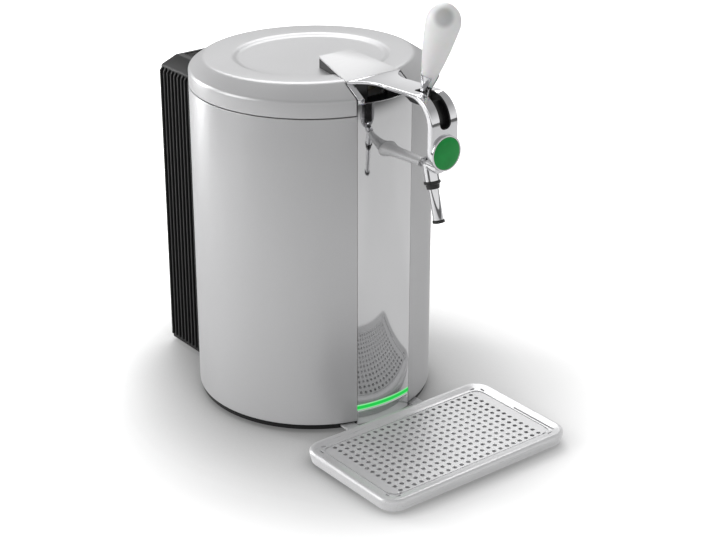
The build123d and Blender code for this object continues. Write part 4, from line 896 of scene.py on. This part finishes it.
def channel_lining():
    """Dark moulding on the channel's sides and under its arch, just below the bright surface."""
    sides, floor = [], []
    below, wide, side_soft, floor_wide, floor_soft = 0.0012, 0.0095, 0.0004, 0.0091, 0.0003
    for outer, inner, half in arch_stations():
        out = (outer - inner).normalized()
        sides.append(strip_section(outer - out * below, inner + out * 0.0003, min(half, wide),
                                   side_soft, side_soft))
        if outer.x < arch_centre().x - 0.0145 and inner.y > ARM_Z + 0.012:
            floor.append(strip_section(inner + out * 0.0008, inner - out * below, floor_wide,
                                       floor_soft, floor_soft))
    lining = loft("channel_lining", sides)
    combine(lining, "INTERSECT", channel_block("lining_block", sizes().slot_half - HAIR, HAIR))
    combine(lining, "DIFFERENCE", channel_block("lining_room", sizes().slot_half - 0.0006, 0.0006))
    dress(join("tap_lining", [lining, loft("channel_floor", floor)]), "machine", "dark_plastic")


def tap_body():
    """Bridge, arch, front post, hub and neck as one bright casting with the lever's channel."""
    size = sizes()
    body = loft("tap_body", [strip_section(*station, 0.0022, 0.0007) for station in arch_stations()])
    combine(body, "DIFFERENCE", channel_block("channel", size.slot_half))
    combine(body, "UNION", tap_hub())
    wide = size.neck_radius
    neck = [(0.001, 0.008), (wide - 0.0004, 0.008), (wide, 0.0084), (wide, 0.0265), (wide - 0.0008, 0.0277),
            (0.001, 0.028)]
    combine(body, "UNION", loft("neck", turned(neck, spout_matrix(), 56)))
    way = 0.0032
    bore = [(0.0005, 0.0), (size.nozzle_radius, 0.0), (size.nozzle_radius, 0.015), (way, 0.015), (way, 0.026),
            (0.0005, 0.026)]
    combine(body, "DIFFERENCE", loft("bore", turned(bore, spout_matrix(), 40)))
    dress(body, "machine", "satin_chrome", "tap_arch", look="chrome", smooth=32)


def lower_arm():
    """Oval arm that flares towards the panel, where its root follows the drum's curve."""
    size = sizes()
    inside, end = FACE_Y + 0.006, arch_centre().x + 0.004
    hub_z = ARM_Z - 0.0014
    rings = []
    for p in smooth_curve([(inside, 2.3), (FACE_Y - 0.001, 1.72), (FACE_Y - 0.011, 1.26),
                           (FACE_Y - 0.030, 1.08), (end, 1.0)], 8):
        z = ROOT_Z + (hub_z - ROOT_Z) * (p.x - inside) / (end - inside)
        angles = [2 * pi * i / 48 for i in range(48)]
        rings.append([Vector((size.arm_wide * p.y * cos(a), p.x, z + size.arm_high * p.y * sin(a)))
                      for a in angles])
    arm = loft("tap_arm_tube", rings)
    core, face, reach = 0.001, DRUM_R + HAIR, 0.03
    seat = [(core, ROOT_Z - reach), (face, ROOT_Z - reach), (face, ROOT_Z + reach), (core, ROOT_Z + reach)]
    combine(arm, "DIFFERENCE", loft("seat", turned(seat, DRUM_AXIS, 288)))
    dress(arm, "machine", "satin_chrome", "tap_arm", look="plate", smooth=32)


def throat_cheeks():
    """Bright cheeks on both sides of the tube's way."""
    dress(softened_copy("throat_trim", "throat_cheeks", 0.0008, 3), "machine", "chrome", "throat_trim")


def facing_front(y):
    """Frame on the badge's axis whose Z axis points out of the tap's front."""
    return placed((0, y, BADGE_Z), pi / 2, "X")


def badge():
    """Plated ring and plain domed disc on the tap's front."""
    outer = (RING_HIGH.z - RING_LOW.z) / 2
    inner = outer - 0.0019
    height = RING_HIGH.y - RING_LOW.y
    profile = rounded([(inner, 0.0, 0.0), (outer, 0.0, 0.0), (outer, height, 0.0011),
                       (inner, height, 0.0006)], 5, closed=True)
    rim = loft("badge_rim", turned(profile, facing_front(RING_HIGH.y), 96), joined=True)
    dress(rim, "machine", "chrome", "badge_ring", smooth=40)
    low, high = node_box("badge_lens")
    reach, dome = inner - HAIR, 0.0015
    profile = [(0.001, 0.0), (reach, 0.0)]
    for angle in quarter_turn(12):
        profile.append((reach * cos(angle) + 0.0002 * sin(angle),
                        high.y - low.y - dome + dome * sin(angle)))
    lens = loft("badge_dome", turned(profile, facing_front(high.y), 96))
    dress(lens, "machine", "badge_green", "badge_lens", smooth=40)


def spout():
    """Collar, tube and tip of the spout."""
    bore, radius = sizes().nozzle_bore, sizes().nozzle_radius
    seat, top, foot, tip = radius + HAIR, 0.0149, -0.0324, -0.0350
    for name, profile, steps, slot, node in (
            ("spout_cuff", [(seat, 0.0, 0.0), (0.0066, 0.0, 0.0006), (0.0072, 0.0046, 0.001),
                            (0.0086, 0.0056, 0.0006), (0.0086, 0.008, 0.0005), (seat, 0.008, 0.0)],
             4, "dark_plastic", "spout_collar"),
            ("spout_tube", [(bore, foot, 0.0003), (radius, foot, 0.0003), (radius, top, 0.0003),
                            (bore, top, 0.0003)], 3, "chrome", "spout_nozzle"),
            ("spout_lip", [(bore, tip, 0.0004), (0.0064, tip, 0.0008), (0.0064, foot, 0.0008),
                           (radius, -0.0316, 0.0), (radius, foot, 0.0), (bore, foot, 0.0)],
             4, "dark_plastic", "spout_tip")):
        section = rounded(profile, steps, closed=True)
        dress(loft(name, turned(section, spout_matrix(), 64), joined=True), "machine", slot, node)


# ---------------------------------------------------------------- lever
GRIP_FOOT, GRIP_HEAD = 0.012, 0.084     # heights above the lever's pin
FORK_TOP = 0.027


def lever_matrix():
    """Frame at the lever's pin, Z up along the lever at rest."""
    return placed((0, *node_middle("lever_pin")[1:]), radians(18.3), "X")


def grip_side(gap=0.0):
    """Side of the grip from its foot to its head."""
    return smooth_curve([(0.0046 + gap, GRIP_FOOT), (0.0102 + gap, 0.035), (0.0142 + gap, 0.0575),
                         (sizes().grip_radius + gap, GRIP_HEAD)], 10)


def lever_grip():
    """Turned grip of frosted plastic with a domed head."""
    head, rise = sizes().grip_radius, sizes().grip_length - GRIP_HEAD
    profile = [(0.0006, GRIP_FOOT), (0.0040, GRIP_FOOT), *grip_side()[1:]]
    for angle in quarter_turn(16, 1):
        profile.append((max(0.0005, head * cos(angle)), GRIP_HEAD + rise * sin(angle)))
    dress(loft("grip", turned(profile, lever_matrix(), 72)), "lever", "frosted_grip", "lever_grip", smooth=40)


def lever_yoke():
    """Bright foot of the lever: hub on the pin and two prongs that hold the grip."""
    place = lever_matrix()
    sideways = Matrix.Rotation(pi / 2, 4, "Y")
    core, radius, wide, soft = 0.0008, 0.004, 0.0124, 0.0006
    barrel = [(core, 0.0), (radius - soft, 0.0), (radius, soft), (radius, wide - soft), (radius - soft, wide),
              (core, wide)]
    hub = loft("yoke", turned(barrel, place @ Matrix.Translation((-wide / 2, 0, 0)) @ sideways, 40))
    stem = [(core, 0.0), (0.0048, 0.0), (0.0059, GRIP_FOOT), (core, GRIP_FOOT)]
    combine(hub, "UNION", loft("stem", turned(stem, place, 48)))
    faces = []
    for gap in (0.0013, 0.0):
        side = [(p.x, p.y) for p in grip_side(gap) if p.y < FORK_TOP]
        faces.append([*side, (side[-1][0] + 0.0004, FORK_TOP)])
    prongs = loft("prongs", turned(faces[0] + faces[1][::-1], place, 64), joined=True)
    half, low, high, reach = 0.0046, 0.015, 0.05, 0.03
    flat = upright(half, low, high, 0.003, 0.0, 6)
    window = [[place @ point for point in ring] for ring in prism(flat, "Y", -reach, reach)]
    combine(prongs, "DIFFERENCE", loft("window", window))
    combine(hub, "UNION", prongs)
    hole = 0.00165
    pin = turned([(0.0003, 0.0), (hole, 0.0), (hole, reach), (0.0003, reach)],
                 place @ Matrix.Translation((-reach / 2, 0, 0)) @ sideways, 32)
    combine(hub, "DIFFERENCE", loft("pin_hole", pin))
    dress(hub, "lever", "chrome", "lever_yoke", smooth=32)


# ---------------------------------------------------------------- repeats
def copies_tree():
    """Geometry Nodes tree that repeats one object over a grid of points and realises the copies."""
    tree = bpy.data.node_groups.new("repeat_over_grid", "GeometryNodeTree")
    for label, kind in (("Shape", "Object"), ("Columns", "Int"), ("Rows", "Int"), ("Span X", "Float"),
                        ("Span Y", "Float"), ("Centre", "Vector"), ("Weld", "Float"), ("Finish", "Material")):
        tree.interface.new_socket(label, in_out="INPUT", socket_type="NodeSocket" + kind)
    tree.interface.new_socket("Geometry", in_out="OUTPUT", socket_type="NodeSocketGeometry")
    given = tree.nodes.new("NodeGroupInput").outputs
    shape = add_node(tree, "GeometryNodeObjectInfo", {"transform_space": "ORIGINAL"},
                     {"Object": given["Shape"]}).outputs["Geometry"]
    made = add_node(tree, "GeometryNodeMeshGrid", links={
        "Size X": given["Span X"], "Size Y": given["Span Y"],
        "Vertices X": given["Columns"], "Vertices Y": given["Rows"]})
    for kind, socket, links in (
            ("MeshToPoints", "Mesh", {}), ("InstanceOnPoints", "Points", {"Instance": shape}),
            ("RealizeInstances", "Geometry", {}), ("Transform", "Geometry", {"Translation": given["Centre"]}),
            ("MergeByDistance", "Geometry", {"Distance": given["Weld"]}),
            ("SetMaterial", "Geometry", {"Material": given["Finish"]})):
        made = add_node(tree, "GeometryNode" + kind, links={socket: made, **links})
    tree.links.new(made.outputs[0], tree.nodes.new("NodeGroupOutput").inputs[0])
    return tree


def repeated(name, shape, columns, rows, pitch, centre, slot, weld=0.00001):
    """A plain mesh of the shape in columns and rows about a centre; the shape is used up."""
    tree = bpy.data.node_groups.get("repeat_over_grid") or copies_tree()
    host = linked(name, bpy.data.meshes.new(name))
    step = host.modifiers.new("Build", "NODES")
    step.node_group = tree
    values = {"Shape": shape, "Columns": columns, "Rows": rows, "Span X": (columns - 1) * pitch,
              "Span Y": (rows - 1) * pitch, "Centre": centre, "Weld": weld, "Finish": finish_for(slot)}
    for item in tree.interface.items_tree:
        if item.in_out == "INPUT":
            step[item.identifier] = values[item.name]
    host.update_tag()
    apply_modifiers(host)
    bpy.data.objects.remove(shape)
    return host


# ---------------------------------------------------------------- rear housing
def housing_walls():
    """Half-width of the housing and Y of its back wall, under the ribs."""
    return HOUSING_HIGH.x - sizes().rib_depth, HOUSING_HIGH.y - sizes().rib_depth


def housing_form(inset, low, high):
    """The housing's block with a chamfer round its top."""
    chamfer = sizes().housing_chamfer
    half, back = (wall - inset for wall in housing_walls())
    front = DRUM_Y + 0.06
    rings = []
    for z, drop in ((low, 0.0), (high - chamfer, 0.0), (high, chamfer)):
        side, rear = half - drop, back - drop
        rings += prism([(-side, front), (side, front), (side, rear), (-side, rear)], "Z", z)
    return loft("housing_form", rings)


def housing_ribs():
    """Upright ribs along the back and both sides, by the repeat tree."""
    size = sizes()
    half, pitch, depth = size.rib_width / 2, size.rib_pitch, size.rib_depth
    low, high = HOUSING_LOW.z, HOUSING_HIGH.z - size.housing_chamfer - 0.002
    section = rounded([(-half, -0.0006, 0.0), (-half * 0.8, depth, 0.0006), (half * 0.8, depth, 0.0006),
                       (half, -0.0006, 0.0)], 3, closed=True)
    side, back = housing_walls()
    across = 2 * int((side - size.rib_width) // pitch) + 1
    contact = DRUM_Y + sqrt(DRUM_R ** 2 - side ** 2)
    along = int((back - pitch / 2 - half - contact - 0.001) // pitch) + 1
    middle = back - pitch / 2 - (along - 1) * pitch / 2
    made = []
    for label, turn in (("back", 0), ("left", 1), ("right", -1)):
        rings = []
        for z, share in ((low, 1.0), (high - depth, 1.0), (high, 0.12)):
            points = [(p.x, p.y if p.y < 0 else p.y * share) for p in section]
            rings.append([Vector((-turn * out, x, z) if turn else (x, out, z)) for x, out in points])
        columns, rows = (1, along) if turn else (across, 1)
        centre = (-turn * side, middle, 0.0) if turn else (0.0, back, 0.0)
        made.append(repeated("ribs_" + label, loft("rib_" + label, rings), columns, rows, pitch, centre,
                             "black_plastic"))
    return join("ribs", made)


def rear_housing():
    """Black housing of the cooler, with ribs, vents, inlet and switch openings."""
    foot, high, wall = HOUSING_LOW.z, HOUSING_HIGH.z, 0.0025
    back = housing_walls()[1]
    inlet_low, inlet_high = node_box("power_inlet")
    switch_low, switch_high = node_box("switch_frame")
    shell = housing_form(0.0, foot, high)
    soften(shell, 0.0012, 3, 20)
    core, face, above = 0.001, DRUM_R + 0.0003, 0.4
    drum = loft("drum_room", turned([(core, 0.0), (face, 0.0), (face, above), (core, above)], DRUM_AXIS, 288))
    vent = cutter("vent", ((VENT_LOW.x, VENT_LOW.y, high - 0.02), (VENT_HIGH.x, VENT_HIGH.y, high + 0.01)))
    sockets = cutter("sockets", *(((low.x, back - 0.005, low.z), (top.x, back + 0.01, top.z)) for low, top in
                                  ((inlet_low, inlet_high), (switch_low, switch_high))))
    combine(shell, "DIFFERENCE", housing_form(wall, foot - 0.005, high - wall), drum, vent, sockets)
    ribs = housing_ribs()
    rim = 0.002
    room = cutter("socket_room", ((inlet_low.x - rim, back + 0.0001, inlet_low.z - rim),
                                  (switch_high.x + rim, back + 0.01, inlet_high.z + rim)))
    combine(ribs, "DIFFERENCE", room)
    screw_low, screw_high = node_box("housing_screws")
    head = 0.0034
    profile = [(0.0005, 0.0), (0.0054, 0.0), (0.0054, 0.0036), (0.0050, 0.004), (head, 0.004), (head, 0.0024),
               (0.0005, 0.0024)]
    bosses = []
    for side in (-1, 1):
        for z in (screw_low.z + head, screw_high.z - head):
            place = placed((side * (screw_high.x - head), back - 0.0005, z), -pi / 2, "X")
            bosses.append(turned(profile, place, 40))
    whole = join("cooler_housing", [shell, ribs, loft("bosses", *bosses)])
    dress(whole, "machine", "black_plastic", "rear_housing", smooth=28)


def vent_louvre():
    """Frame and slats of the vent in the housing's top."""
    rim, count, half = 0.002, 4, 0.0013
    low, high, thick = VENT_LOW.z, VENT_HIGH.z, VENT_HIGH.z - VENT_LOW.z

    def outline(inset):
        x0, x1, y0, y1 = VENT_LOW.x + inset, VENT_HIGH.x - inset, VENT_LOW.y + inset, VENT_HIGH.y - inset
        return [(x0, y0), (x1, y0), (x1, y1), (x0, y1)]

    border = loft("louvre_border", prism(outline(0.0), "Z", low, high) + prism(outline(rim), "Z", high, low),
                  joined=True)
    soften(border, 0.0004)
    pitch = (VENT_HIGH.y - VENT_LOW.y - 2 * rim) / (count + 1)
    reach = VENT_HIGH.x - rim + 0.0002
    flat = upright(half, -thick / 2 + 0.0002, thick / 2 - 0.0003, 0.0004, 0.0008, 3)
    slats = repeated("slats", loft("slat", prism(flat, "X", -reach, reach)), 1, count, pitch,
                     (0.0, (VENT_LOW.y + VENT_HIGH.y) / 2, (low + high) / 2), "black_plastic")
    dress(join("top_louvre", [border, slats]), "machine", "black_plastic", "top_vent", smooth=30)


# ---------------------------------------------------------------- drip tray
def grid_half():
    return (GRID_HIGH.x - GRID_LOW.x) / 2, (GRID_HIGH.y - GRID_LOW.y) / 2


def tray_half():
    """Half-width and half-depth of the tray at its upper edge."""
    rim = sizes().tray_rim + 0.0005
    return tuple(half + rim for half in grid_half())


def tray_slots(top):
    """Finger slot in the rim's right side and the small notches beside the grid's corners."""
    half_x, half_y = tray_half()
    wide, notch, corner = 0.0011, 0.003, 0.008
    inset = sizes().tray_rim - 0.0026
    edge_x, edge_y = half_x - inset, half_y - inset
    slots = [(edge_x, -0.38 * half_y, wide, 0.42 * half_y)]
    for sx in (-1, 1):
        for sy in (-1, 1):
            slots.append((sx * (edge_x - corner), sy * edge_y, notch, wide))
            if (sx, sy) != (1, -1):
                slots.append((sx * edge_x, sy * (edge_y - corner), wide, notch))
    bodies = []
    for x, y, across, along in slots:
        flat = [(x + p.x, TRAY_Y + y + p.y) for p in round_rectangle(across, along, wide * 0.9, 4)]
        bodies.append(prism(flat, "Z", top - 0.0046, top + 0.002))
    return loft("slots", *bodies)


def drip_tray():
    """Bright tray: rounded outer wall, rim that falls to the grid's seat, a well and two tongues."""
    half_x, half_y = tray_half()
    top, bottom, seat = GRID_HIGH.z + 0.0026, node_box("tray_feet")[1].z, GRID_LOW.z
    rim, floor = sizes().tray_rim, bottom + 0.002
    profile = rounded([
        (0.040, bottom, 0.0), (0.003, bottom, 0.002), (0.0003, top - 0.003, 0.003), (0.0022, top, 0.003),
        (0.0052, top, 0.003), (rim - 0.003, GRID_HIGH.z + 0.0002, 0.004), (rim, GRID_HIGH.z, 0.0003),
        (rim, seat, 0.0), (rim + 0.003, seat, 0.0004), (rim + 0.003, floor, 0.0015), (0.055, floor, 0.0)], 5)
    rings = []
    for inset, z in profile:
        corner = max(0.0015, sizes().tray_corner - inset * 0.8)
        flat = round_rectangle(half_x - inset, half_y - inset, corner, 12)
        rings.append([Vector((p.x, TRAY_Y + p.y, z)) for p in flat])
    tray = loft("tray_body", rings)
    tongue, root, tip = 0.007, TRAY_Y + half_y - 0.006, FACE_Y + 0.028
    combine(tray, "UNION", cutter("tongues", *(((x - tongue, root, 0.0054), (x + tongue, tip, 0.0078))
                                               for x in (-0.045, 0.045))))
    combine(tray, "DIFFERENCE", tray_slots(top))
    dress(tray, "tray", "satin_chrome", "drip_tray", "tray_pan", smooth=40)


def perforated_tile(pitch, radius, sides):
    """One square of the grid with its round hole."""
    bm = bmesh.new()
    half, quarter = pitch / 2, sides // 4
    hole = [bm.verts.new((radius * cos(2 * pi * i / sides), radius * sin(2 * pi * i / sides), 0.0))
            for i in range(sides)]
    corners = [bm.verts.new((sx * half, sy * half, 0.0)) for sx, sy in ((1, 1), (-1, 1), (-1, -1), (1, -1))]
    middles = [bm.verts.new((half * cos(i * pi / 2), half * sin(i * pi / 2), 0.0)) for i in range(4)]
    for i in range(4):
        arc = [hole[(i * quarter + k) % sides] for k in range(quarter + 1)]
        bm.faces.new([middles[i], corners[i], middles[(i + 1) % 4], *arc[::-1]])
    return to_object("tile", bm)


def drip_grid():
    """Perforated steel sheet that lies in the tray."""
    size = sizes()
    half_x, half_y = grid_half()
    pitch, z = size.hole_pitch, GRID_HIGH.z - 0.0003
    columns = int((2 * half_x - 0.024) // pitch) + 1
    rows = int((2 * half_y - 0.008) // pitch) + 1
    tile = perforated_tile(pitch, size.hole_radius, size.hole_sides)
    sheet = repeated("sheet", tile, columns, rows, pitch, (0.0, TRAY_Y, z), "steel", weld=0.00002)
    bm = bmesh.new()
    bm.from_mesh(sheet.data)
    bpy.data.objects.remove(sheet)
    reach_x, reach_y = columns * pitch / 2 - 1e-5, rows * pitch / 2 - 1e-5
    inner = [edge for edge in bm.edges if edge.is_boundary and max(
        max(abs(v.co.x) - reach_x, abs(v.co.y - TRAY_Y) - reach_y) for v in edge.verts) > 0]
    outline = round_rectangle(half_x - 0.0004, half_y - 0.0004, 0.013, 12)
    rim = [bm.verts.new((p.x, TRAY_Y + p.y, z)) for p in outline]
    rim_edges = [bm.edges.new(pair) for pair in zip(rim, rim[1:] + rim[:1])]
    bmesh.ops.triangle_fill(bm, edges=inner + rim_edges, use_beauty=True)
    bmesh.ops.recalc_face_normals(bm, faces=bm.faces)
    if sum(face.normal.z for face in bm.faces) < 0:
        bmesh.ops.reverse_faces(bm, faces=bm.faces)
    grid = to_object("perforated_grid", bm, outward=False)
    wall = grid.modifiers.new("Thickness", "SOLIDIFY")
    wall.thickness = 0.0008
    wall.offset = -1.0
    apply_modifiers(grid)
    dress(grid, "grid", "steel", "drip_grid", smooth=40)


# ---------------------------------------------------------------- pieces kept from the CAD model
def soft_nodes():
    """Fittings whose CAD shape stays, with soft edges."""
    for node, name, body, slot, width in (
            ("power_inlet", "inlet_socket", "machine", "black_plastic", 0.0005),
            ("switch_frame", "switch_bezel", "machine", "black_plastic", 0.0004),
            ("hinge_bracket", "hinge_ears", "machine", "black_plastic", 0.0005),
            ("fan_frame", "fan_surround", "machine", "black_plastic", 0.0005),
            ("power_switch", "rocker_cap", "rocker", "dark_plastic", 0.0004)):
        dress(softened_copy(node, name, width), body, slot, node)


def dress_nodes():
    """Every CAD node, shown or hidden, gets the material of its slot."""
    for part in frame["record"]["subparts"]:
        mesh = frame["nodes"][part["node"]].data
        mesh.materials.clear()
        mesh.materials.append(finish_for(part["material_slot"]))


# ---------------------------------------------------------------- stage
def studio_floor():
    """Pale floor that stays white to the camera and keeps the shadow, with contact shade painted darker round
    the pieces through an occlusion mask; in reflections it is painted brighter near the machine and darker
    far off.
    """
    mesh = bpy.data.meshes.new("studio_floor")
    reach = 12.0
    mesh.from_pydata([(-reach, -reach, 0), (reach, -reach, 0), (reach, reach, 0), (-reach, reach, 0)], [],
                     [(0, 1, 2, 3)])
    floor = linked("studio_floor", mesh)
    material, tree, surface, place = new_material("studio_paper", {
        "Roughness": 0.9, "Specular IOR Level": 0.1, "Emission Color": (1.0, 1.0, 1.0)})
    path = add_node(tree, "ShaderNodeLightPath").outputs
    seen = path["Is Camera Ray"]
    mirrored = add_node(tree, "ShaderNodeMath", {"operation": "MAXIMUM"},
                        {0: path["Is Glossy Ray"], 1: path["Is Transmission Ray"]})
    noise = add_node(tree, "ShaderNodeTexNoise", {"Scale": 3.0}, {"Vector": place})
    paper = add_node(tree, "ShaderNodeValToRGB", links={"Fac": noise},
                     stops=((0.3, srgb("#E2E2E2")), (0.7, srgb("#E6E6E6"))))
    # Painted shade: the paper is darkened wherever the occlusion mask finds pieces close by.
    occlusion_for_painted_shade = add_node(tree, "ShaderNodeAmbientOcclusion", {"Distance": 0.12}).outputs["AO"]
    contact = add_node(tree, "ShaderNodeMapRange", {"From Min": 0.35, "To Min": 0.25}, {"Value": occlusion_for_painted_shade})
    shaded = add_node(tree, "ShaderNodeMix", {"data_type": "RGBA", "blend_type": "MULTIPLY"},
                      {0: seen, 6: paper, 7: contact}).outputs[2]
    away = add_node(tree, "ShaderNodeVectorMath", {"operation": "LENGTH"}, {0: place}).outputs["Value"]
    white, far = (add_node(tree, "ShaderNodeMapRange", {
        "interpolation_type": "SMOOTHSTEP", "From Min": start, "From Max": end, "To Min": low,
        "To Max": high}, {"Value": away})
        for start, end, low, high in ((0.16, 0.44, 0.12, 0.8), (1.5, 2.4, 0.0, 0.85)))
    # Painted reflection: to glossy rays the floor is greyed far off and given a little light of its own near
    # the machine.
    distant = add_node(tree, "ShaderNodeMath", {"operation": "MULTIPLY"}, {0: mirrored, 1: far})
    dimmed = add_node(tree, "ShaderNodeMix", {"data_type": "RGBA", 7: (*srgb("#505050"), 1.0)},
                      {0: distant, 6: shaded})
    tree.links.new(dimmed.outputs[2], surface.inputs["Base Color"])
    fading = add_node(tree, "ShaderNodeMath", {"operation": "MULTIPLY_ADD", 1: -0.2, 2: 0.2}, {0: far})
    near = add_node(tree, "ShaderNodeMath", {"operation": "MULTIPLY"}, {0: mirrored, 1: fading})
    lift = add_node(tree, "ShaderNodeMath", {"operation": "MULTIPLY_ADD"}, {0: seen, 1: white, 2: near})
    tree.links.new(lift.outputs[0], surface.inputs["Emission Strength"])
    mesh.materials.append(material)


def studio_world():
    """Plain soft room, dimmer above, and white where the camera sees it."""
    world = bpy.data.worlds.new("studio_room")
    bpy.context.scene.world = world
    world.use_nodes = True
    tree = world.node_tree
    tree.nodes.clear()
    ray = add_node(tree, "ShaderNodeTexCoord").outputs["Generated"]
    up = add_node(tree, "ShaderNodeSeparateXYZ", links={0: ray}).outputs["Z"]
    shade = add_node(tree, "ShaderNodeValToRGB", links={"Fac": up},
                     stops=((0.15, srgb("#FFFFFF")), (0.65, srgb("#B0B0B0"))))
    room = add_node(tree, "ShaderNodeBackground", {"Strength": 1.0}, {"Color": shade})
    white = add_node(tree, "ShaderNodeBackground", {"Color": (1.0, 1.0, 1.0, 1.0), "Strength": 1.0})
    seen = add_node(tree, "ShaderNodeLightPath").outputs["Is Camera Ray"]
    mix = add_node(tree, "ShaderNodeMixShader", links={0: seen, 1: room, 2: white})
    add_node(tree, "ShaderNodeOutputWorld", links={"Surface": mix})


def stage_camera():
    """Camera at the product's usual three-quarter view, from the front left and above."""
    lens = bpy.data.cameras.new("view_camera")
    lens.lens = 87.65
    lens.sensor_width = 36.0
    lens.sensor_fit = "HORIZONTAL"
    lens.clip_start = 0.05
    lens.clip_end = 60.0
    camera = linked("view_camera", lens)
    forward = Vector((0.56321, 0.71919, -0.40688)).normalized()
    right = Vector((0.78731, -0.61655, 0.0)).normalized()
    turn = Matrix((right, right.cross(forward), -forward)).transposed().to_4x4()
    camera.matrix_world = Matrix.Translation((-1.05517, -1.37659, 0.92559)) @ turn
    bpy.context.scene.camera = camera


def studio_lights():
    """Large soft lamps that face the part: name, place, width, height and watts."""
    bpy.context.scene.view_settings.view_transform = "Standard"
    aim = Vector((0.0, 0.0, 0.2))
    for name, place, width, height, power in (
            ("left_strip", (-0.75, 1.6, 0.5), 0.25, 1.4, 15.0),
            ("left_key", (-1.7, 0.7, 1.0), 0.9, 1.2, 9.5),
            ("top_soft", (0.8, 1.2, 1.9), 1.4, 1.4, 22.5)):
        lamp = bpy.data.lights.new(name, "AREA")
        lamp.shape = "RECTANGLE"
        lamp.size = width
        lamp.size_y = height
        lamp.energy = power
        holder = linked(name, lamp)
        holder.visible_camera = False
        facing = (aim - Vector(place)).to_track_quat("-Z", "Y").to_matrix().to_4x4()
        holder.matrix_world = Matrix.Translation(place) @ facing


# ---------------------------------------------------------------- operators
def build(*makers):
    """Runs an operator's makers in order; an error in one stops the script."""
    for maker in makers:
        maker()
    return {"FINISHED"}


class DISPENSER_OT_stage(Operator):
    """Sets up the camera, the floor, the room and the lamps"""
    bl_idname = "dispenser.stage"
    bl_label = "Stage"

    def execute(self, context):
        return build(stage_camera, studio_floor, studio_world, studio_lights)


class DISPENSER_OT_drum(Operator):
    """Builds the painted drum, the mirror panel, the light and the foot trim"""
    bl_idname = "dispenser.drum"
    bl_label = "Drum"

    def execute(self, context):
        return build(drum_shell, mirror_front, base_trim, light_guide)


class DISPENSER_OT_lid(Operator):
    """Builds the lid's moulding with its handle plate"""
    bl_idname = "dispenser.lid"
    bl_label = "Lid"

    def execute(self, context):
        return build(lid_cover, handle_plate, plate_wedge)


class DISPENSER_OT_tap(Operator):
    """Builds the tap's body, its lined channel, the lower arm and the cheeks"""
    bl_idname = "dispenser.tap"
    bl_label = "Tap"

    def execute(self, context):
        return build(tap_body, channel_lining, lower_arm, throat_cheeks)


class DISPENSER_OT_badge(Operator):
    """Builds the plain round badge on the tap"""
    bl_idname = "dispenser.badge"
    bl_label = "Badge"

    def execute(self, context):
        return build(badge)


class DISPENSER_OT_spout(Operator):
    """Builds the collar, tube and tip of the spout"""
    bl_idname = "dispenser.spout"
    bl_label = "Spout"

    def execute(self, context):
        return build(spout)


class DISPENSER_OT_lever(Operator):
    """Builds the lever's grip and yoke"""
    bl_idname = "dispenser.lever"
    bl_label = "Lever"

    def execute(self, context):
        return build(lever_grip, lever_yoke)


class DISPENSER_OT_housing(Operator):
    """Builds the cooler's ribbed housing"""
    bl_idname = "dispenser.housing"
    bl_label = "Rear housing"

    def execute(self, context):
        return build(rear_housing)


class DISPENSER_OT_louvre(Operator):
    """Builds the vent in the housing's top"""
    bl_idname = "dispenser.louvre"
    bl_label = "Louvre"

    def execute(self, context):
        return build(vent_louvre)


class DISPENSER_OT_tray(Operator):
    """Builds the drip tray with its rim, well and tongues"""
    bl_idname = "dispenser.tray"
    bl_label = "Drip tray"

    def execute(self, context):
        return build(drip_tray)


class DISPENSER_OT_grid(Operator):
    """Builds the perforated sheet in the tray"""
    bl_idname = "dispenser.grid"
    bl_label = "Drip grid"

    def execute(self, context):
        return build(drip_grid)


class DISPENSER_OT_fittings(Operator):
    """Softens the edges of the socket, switch, hinge and fan"""
    bl_idname = "dispenser.fittings"
    bl_label = "Fittings"

    def execute(self, context):
        return build(soft_nodes)


class DISPENSER_OT_finishes(Operator):
    """Gives the pieces kept from the CAD model their materials"""
    bl_idname = "dispenser.finishes"
    bl_label = "Finishes"

    def execute(self, context):
        return build(dress_nodes)


OPERATORS = (
    DISPENSER_OT_stage, DISPENSER_OT_drum, DISPENSER_OT_lid, DISPENSER_OT_tap, DISPENSER_OT_badge,
    DISPENSER_OT_spout, DISPENSER_OT_lever, DISPENSER_OT_housing, DISPENSER_OT_louvre, DISPENSER_OT_tray,
    DISPENSER_OT_grid, DISPENSER_OT_fittings, DISPENSER_OT_finishes,
)


class DISPENSER_PT_pieces(Panel):
    """Lists the pieces and their sizes and colours"""
    bl_label = "Beer dispenser"
    bl_idname = "DISPENSER_PT_pieces"
    bl_space_type = "VIEW_3D"
    bl_region_type = "UI"
    bl_category = "Dispenser"

    def draw(self, context):
        for entry in OPERATORS:
            self.layout.operator(entry.bl_idname)
        for group in (sizes(), colours()):
            box = self.layout.box()
            for key in group.__annotations__:
                box.prop(group, key)


CLASSES = (DispenserSizes, DispenserColours, *OPERATORS, DISPENSER_PT_pieces)


def register():
    for entry in CLASSES:
        bpy.utils.register_class(entry)
    bpy.types.Scene.dispenser_sizes = PointerProperty(type=DispenserSizes)
    bpy.types.Scene.dispenser_colours = PointerProperty(type=DispenserColours)


def unregister():
    del bpy.types.Scene.dispenser_colours
    del bpy.types.Scene.dispenser_sizes
    for entry in reversed(CLASSES):
        bpy.utils.unregister_class(entry)


def main():
    register()
    for entry in OPERATORS:
        name = entry.bl_idname.split(".")[1]
        getattr(bpy.ops.dispenser, name)()


if __name__ == "__main__":
    main()
